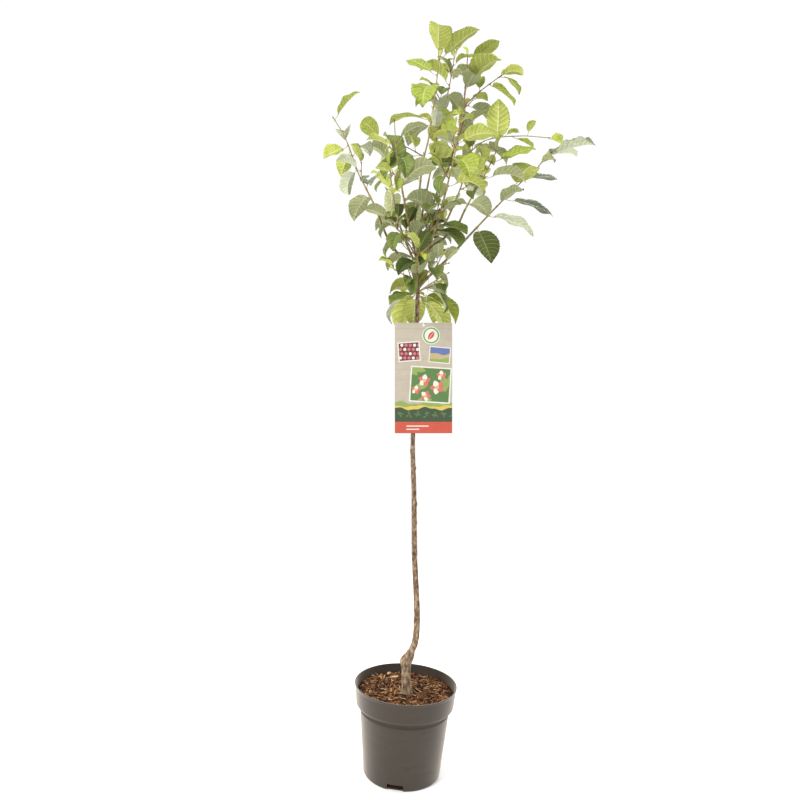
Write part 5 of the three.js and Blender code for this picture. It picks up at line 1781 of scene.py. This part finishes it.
class Print:
    """Flat printed shapes on the card, clipped to it and cut into strips that follow its bow."""

    def __init__(self, side=1):
        self.heap = Heap()
        self.side = side
        self.layer = 1

    def shape(self, outline, ink, clip=(), hole=None):
        mesh = bmesh.new()
        fill(mesh, outline, hole)
        card = frame_clip(LABEL["width"] - 2 * PRINT_EDGE, LABEL["height"] - 2 * PRINT_EDGE, 0, 0, 0)
        for place, away in (*card, *clip):
            slice_mesh(mesh, place, away, clear=True)
        slice_strips(mesh, HALF_Y - PRINT_EDGE)
        bmesh.ops.triangulate(mesh, faces=mesh.faces[:])
        if mesh.faces:
            thicken(mesh, BOW["layer"] * self.layer + BOW["sunk"])
            points, faces = take_mesh(mesh, self.side)
            points[:, 2] = self.side * (points[:, 2] + LABEL["thickness"] / 2 - BOW["sunk"])
            self.heap.add(on_card(points), faces, INK[ink])
        mesh.free()

    def box(self, wide, high, place, ink, clip=()):
        """A box at a place: its turn in degrees, and where its middle lies."""
        self.shape(turned(box_shape(wide, high), *place), ink, clip)

    def disc(self, radius, x, y, ink, clip=(), count=28):
        self.shape(turned(round_shape(radius, count), 0, x, y), ink, clip)

    def leaf(self, length, wide, place, ink, clip=()):
        self.shape(turned(leaf_shape(length, wide), *place), ink, clip)

    def hills(self, left, right, hills, clip=()):
        """Rows of hills, each before the last."""
        for *hill, ink in hills:
            self.shape(hill_shape(left, right, *hill), ink, clip)
            self.layer += 1

    def picture(self, layer, wide, high, edge, place, ink):
        """A tilted picture with a white edge. Returns the cuts that keep shapes inside it."""
        self.layer = layer
        self.box(wide, high, place, "white")
        self.layer += 1
        self.box(wide - edge, high - edge, place, ink)
        self.layer += 1
        return frame_clip(wide - edge, high - edge, *place)

    def flower(self, x, y, size, turn, clip):
        """Petals that lie over each other in turn, and a round middle."""
        low = self.layer
        step = 360 / len(FLOWER["layers"])
        for i, over in enumerate(FLOWER["layers"]):
            self.layer = low + over
            petal = [(size - px, py) for px, py in leaf_shape(size, size * FLOWER["petal"])]
            self.shape(turned(petal, turn + step * i, x, y), "white" if i % 2 else "pink", clip)
        self.layer = low + FLOWER["top"]
        self.disc(size * FLOWER["middle"], x, y, "yellow", clip, FLOWER["sides"])
        self.layer = low


# The printed design, in millimetres and degrees, with places from the card's middle
BOARDS = {"edge": 1, "hole": 3.0, "lines": 6, "line": 0.9, "first": 14, "apart": 24}
# Hills of the meadow and of the field: foot, height, swell, shift and ink
MEADOW = (
    (-80, -58, 3.5, 0.4, "light_green"),
    (-90, -66, 2.0, 2.2, "yellow"),
    (-110, -72, 3.2, 1.1, "dark_green"),
)
FIELD = ((30, 57, 2.5, 0.2, "straw"), (30, 46, 2.0, 1.7, "light_green"))
FIELD_SIDES = (10, 66)
HEDGE = {
    "count": 26,
    "leaf": (8, 3),
    "turns": (25, 65, 105, 145),
    "first": 5,
    "apart": 5.1,
    "heights": (-84, -88.5, -93, -86.25, -90.75),
}
# Band at the foot, with the width and place of its bars from the card's foot
BAND = {"height": 27, "bar": 2.6, "bars": ((52, -14, 17), (30, -25, 9.5))}
# Pictures: first layer, width, height, white edge, turn with place, and ink
PICTURES = {
    "flowers": (6, 96, 84, 6, (-3.5, 16, -16), "green"),
    "dots": (3, 52, 46, 5, (4, -34, 62), "plum"),
    "field": (3, 50, 38, 4, (-5, 38, 54), "blue"),
}
# Leaves in a ring: where its middle lies, how far it reaches, the angle from leaf to leaf in radians, and
# the turn of the first leaf with what each one adds
WREATH = {
    "count": 9,
    "leaf": (34, 15),
    "middle": (16, -16),
    "reach": (40, 33),
    "step": 2.4,
    "turn": (60, 77),
}
# Flowers: place, size and turn
FLOWERS = ((2, -6, 15, 10), (32, -22, 17, 40), (5, -42, 13, 65), (42, 6, 12, 20), (-18, -28, 11, 5))
DOTS = {"across": 5, "up": 4, "radius": 3.6, "first": (-54, 47), "apart": 10, "shift": 3, "sides": 14}
MARK = {
    "layer": 3,
    "place": (18, 100),
    "rings": ((21, "white"), (19, "emblem"), (15.5, "white")),
    "turn": 55,
    "leaf": (24, 12),
    "foot": (-7, -10),
    "vein": (20, 0.9),
}
# The back: heights of its bands, and rows of bars that start at the same side
BACK = {
    "band": 30,
    "band_drop": 34,
    "dot": (9, 42),
    "bar": (60, 3),
    "bar_x": -18,
    "rows": 9,
    "row": 2.2,
    "widths": (104, 65, 78, 91),
    "side": -52,
    "row_drop": 72,
    "apart": 11,
    "foot": 14,
}


def print_boards(prints):
    """Boards, and before them a meadow, a hedge and a band with two bars."""
    board = box_shape(LABEL["width"] - BOARDS["edge"], LABEL["height"] - BOARDS["edge"])
    prints.shape(board, "board", hole=card_hole(BOARDS["hole"]))
    prints.layer += 1
    for i in range(BOARDS["lines"]):
        y = HALF_Y - BOARDS["first"] - BOARDS["apart"] * i
        prints.box(LABEL["width"], BOARDS["line"], (0, 0, y), "board_line")
    prints.layer += 1
    prints.hills(-HALF_X, HALF_X, MEADOW)
    for i in range(HEDGE["count"]):
        turn = HEDGE["turns"][i % len(HEDGE["turns"])]
        y = HEDGE["heights"][i % len(HEDGE["heights"])]
        prints.leaf(*HEDGE["leaf"], (turn, -HALF_X + HEDGE["first"] + HEDGE["apart"] * i, y), "green")
    prints.layer += 1
    prints.box(LABEL["width"], BAND["height"], (0, 0, -HALF_Y + BAND["height"] / 2), "red")
    prints.layer += 1
    for wide, x, y in BAND["bars"]:
        prints.box(wide, BAND["bar"], (0, x, -HALF_Y + y), "white")


def print_pictures(prints):
    """Flowers on green, dots on plum, and a field under the sky."""
    clip = prints.picture(*PICTURES["flowers"])
    for i in range(WREATH["count"]):
        x = WREATH["middle"][0] + WREATH["reach"][0] * math.cos(WREATH["step"] * i)
        y = WREATH["middle"][1] + WREATH["reach"][1] * math.sin(WREATH["step"] * i)
        turn = WREATH["turn"][0] + WREATH["turn"][1] * i
        prints.leaf(*WREATH["leaf"], (turn, x, y), "light_green", clip)
        prints.layer += 1
    for flower in FLOWERS:
        prints.flower(*flower, clip)
    clip = prints.picture(*PICTURES["dots"])
    for i in range(DOTS["across"]):
        for j in range(DOTS["up"]):
            x = DOTS["first"][0] + DOTS["apart"] * i + DOTS["shift"] * (j % 2)
            y = DOTS["first"][1] + DOTS["apart"] * j
            prints.disc(DOTS["radius"], x, y, "pink" if (i + j) % 3 else "white", clip, DOTS["sides"])
    clip = prints.picture(*PICTURES["field"])
    prints.hills(*FIELD_SIDES, FIELD, clip)


def print_mark(prints):
    """A round mark with a leaf in it."""
    x, y = MARK["place"]
    prints.layer = MARK["layer"]
    for radius, ink in MARK["rings"]:
        prints.disc(radius, x, y, ink)
        prints.layer += 1
    place = (MARK["turn"], x + MARK["foot"][0], y + MARK["foot"][1])
    prints.leaf(*MARK["leaf"], place, "red")
    prints.layer += 1
    prints.box(*MARK["vein"], (MARK["turn"], x, y), "white")


def print_back(prints):
    """The back: a green band, rows of plain bars and a red foot."""
    y = HALF_Y - BACK["band_drop"]
    prints.box(LABEL["width"], BACK["band"], (0, 0, y), "green")
    prints.layer += 1
    prints.disc(*BACK["dot"], y, "white")
    prints.box(*BACK["bar"], (0, BACK["bar_x"], y), "white")
    for i in range(BACK["rows"]):
        wide = BACK["widths"][i % len(BACK["widths"])]
        y = HALF_Y - BACK["row_drop"] - BACK["apart"] * i
        prints.box(wide, BACK["row"], (0, wide / 2 + BACK["side"], y), "board_line")
    prints.box(LABEL["width"], BACK["foot"], (0, 0, -HALF_Y + BACK["foot"] / 2), "red")


def card_body():
    """The card itself, with rounded corners and its hole."""
    corner = CARD_CORNER["radius"]
    outline = []
    for number, (cx, cy) in enumerate(((1, 1), (-1, 1), (-1, -1), (1, -1))):
        for i in range(CARD_CORNER["steps"] + 1):
            angle = math.radians(90 * (number + i / CARD_CORNER["steps"]))
            x = cx * (HALF_X - corner) + corner * math.cos(angle)
            outline.append((x, cy * (HALF_Y - corner) + corner * math.sin(angle)))
    mesh = bmesh.new()
    fill(mesh, outline, card_hole(LABEL_HOLE["radius"]), -LABEL["thickness"] / 2)
    thicken(mesh, LABEL["thickness"])
    slice_strips(mesh, HALF_Y)
    bmesh.ops.triangulate(mesh, faces=mesh.faces[:])
    points, faces = take_mesh(mesh)
    mesh.free()
    heap = Heap()
    heap.add(on_card(points), faces, INK["card_back"])
    return heap


def build_label():
    inks = [surface(f"ink_{name}", colour, *INK_LOOK, **INK_COAT) for name, colour in INKS.items()]
    card_body().piece("label_card", inks, "label", ["hanging_label"], smooth=False)
    front = Print()
    print_boards(front)
    print_pictures(front)
    print_mark(front)
    front.heap.piece("label_print", inks, "label", [], smooth=False)
    back = Print(-1)
    print_back(back)
    back.heap.piece("label_back_print", inks, "label", [], smooth=False)


# String: its loop through the hole and over the bough, the knot, and the two ends that hang from it
LOOP = {"clear": 1.1, "rise": 1.2, "in_hole": 0.4, "side_steps": 60, "top_steps": 12, "hole_steps": 9}
KNOT = {"at": 0.06, "length": 3.0, "width": 1.7, "turn": 2.1, "lobes": 3, "flat": 0.4, "rise": 0.5}
STRING_END = ((0, 0, 0), (2.5, -1.0, -1.5), (4, -1.4, -5.0))
STRING_TIP = 0.3


def build_string():
    """Two twisted strands: up from the hole in front, over the bough and down behind, with a knot."""
    heap = Heap()
    clear = LOOP["clear"]
    hole = on_card(np.array([[0.0, HALF_Y - LABEL_HOLE["drop"], 0.0]]))[0]
    bough = BOUGHS[STRING["bough"]]
    reach = bough["foot"] + (bough["tip"] - bough["foot"]) * STRING["along"] + clear
    low = hole + np.array([0, 0, LABEL_HOLE["radius"] - LOOP["in_hole"]])
    front = STRING_TOP + np.array([0, -reach, 0.0])
    back = STRING_TOP + np.array([0, reach, 0.0])
    near = low + np.array([0, -clear, LOOP["rise"]])
    far = low + np.array([0, clear, LOOP["rise"]])
    shares = np.linspace(0, 1, LOOP["side_steps"])[:, None]
    top_angles = np.linspace(math.pi, 0, LOOP["top_steps"])[:, None]
    low_angles = np.linspace(0, math.pi, LOOP["hole_steps"])[1:-1, None]
    over = STRING_TOP + reach * (np.cos(top_angles) * [0, 1, 0] + np.sin(top_angles) * [0, 0, 1])
    through = low + clear * np.cos(low_angles) * [0, 1, 0] - np.sin(low_angles) * [0, 0, 1]
    up = near + (front - near) * shares[:-1]
    down = back + (far - back) * shares[1:]
    middle = np.vstack([up, over, down, through])
    for strand in (0, math.pi):
        phase = strand + 2 * math.pi * STRING["turns"] * np.arange(len(middle)) / len(middle)
        offset = np.stack([np.cos(phase), np.sin(phase), np.zeros(len(middle))], axis=1) * STRING["apart"]
        line = middle + offset
        radii = [STRING["radius"]] * (len(line) + 1)
        heap.add(*tube(np.vstack([line, line[:1]]), radii, STRING["sides"]), 0)
    knot = near + (front - near) * KNOT["at"]
    for i in range(KNOT["lobes"]):
        turn = KNOT["turn"] * i
        rise = KNOT["rise"] - KNOT["flat"] * i
        axis = unit(np.array([math.cos(turn), KNOT["flat"] * math.sin(turn), rise]))
        foot = knot - axis * KNOT["length"] / 2
        heap.add(*ovoid(foot, axis, KNOT["length"], KNOT["width"], sharp=1.0), 0)
    for hand in (-1, 1):
        end = knot + np.array(STRING_END) * [hand, 1, 1]
        heap.add(*tube(end, [STRING["radius"], STRING["radius"], STRING_TIP], STRING["sides"]), 0)
    heap.piece("cord_loop", surfaces_of("cord"), "string", ["label_string"])


# Studio: a plain pale floor, soft lights with their place, size, power and colour, and the camera
LIGHTS = (
    ("key", (-1.7, -1.8, 3.1), 1.0, 100, (1, 0.985, 0.95)),
    ("right", (1.6, 1.2, 0.5), 1.0, 14, (1, 0.97, 0.93)),
    ("left", (-1.6, 1.2, 0.5), 1.0, 22, (1, 0.96, 0.91)),
    ("behind", (0.6, 2.3, 2.7), 1.4, 50, (1, 0.99, 0.95)),
)
ROOM = {"light": 1.03, "aim": (0, 0, 1.1)}
FLOOR = {"drop": -0.0004, "radii": (0.3, 0.8, 1.4, 2.2), "sides": 96}


def build_floor():
    sides = FLOOR["sides"]
    rings = [level_ring(radius, turns(sides), FLOOR["drop"]) for radius in FLOOR["radii"]]
    points = np.vstack(rings + [[[0, 0, FLOOR["drop"]]]])
    faces = []
    for i in range(len(rings) - 1):
        for j in range(sides):
            after = (j + 1) % sides
            faces.append([i * sides + j, (i + 1) * sides + j, (i + 1) * sides + after, i * sides + after])
    faces += [[len(points) - 1, j, (j + 1) % sides] for j in range(sides)]
    floor = add_mesh("floor", points, faces)
    floor.data.materials.append(*surfaces_of("floor_pale"))


def build_studio():
    scene = bpy.context.scene
    scene.view_settings.view_transform = "Standard"
    world = bpy.data.worlds.new("room")
    scene.world = world
    world.use_nodes = True
    world.node_tree.nodes["Background"].inputs["Color"].default_value = (1, 1, 1, 1)
    world.node_tree.nodes["Background"].inputs["Strength"].default_value = ROOM["light"]
    for name, place, size, power, colour in LIGHTS:
        light = bpy.data.lights.new(name, "AREA")
        light.shape = "DISK"
        light.size = size
        light.energy = power
        light.color = colour
        lamp = add_object(name, light)
        lamp.location = place
        lamp.rotation_euler = (Vector(ROOM["aim"]) - Vector(place)).to_track_quat("-Z", "Y").to_euler()
    build_floor()


def build_camera():
    camera = bpy.data.cameras.new("camera")
    camera.lens = CAMERA["lens"]
    camera.sensor_width = CAMERA["sensor"]
    seat = add_object("camera", camera)
    roll = math.radians(CAMERA["roll"])
    cos = math.cos(roll)
    sin = math.sin(roll)
    x, y, z = CAMERA["place"]
    seat.matrix_world = Matrix(((cos, -sin, 0, x), (0, 0, -1, y), (sin, cos, 0, z), (0, 0, 0, 1)))
    bpy.context.scene.camera = seat


build_camera()
build_studio()
build_pot()
build_soil()
build_bark()
build_foliage()
build_label()
build_string()
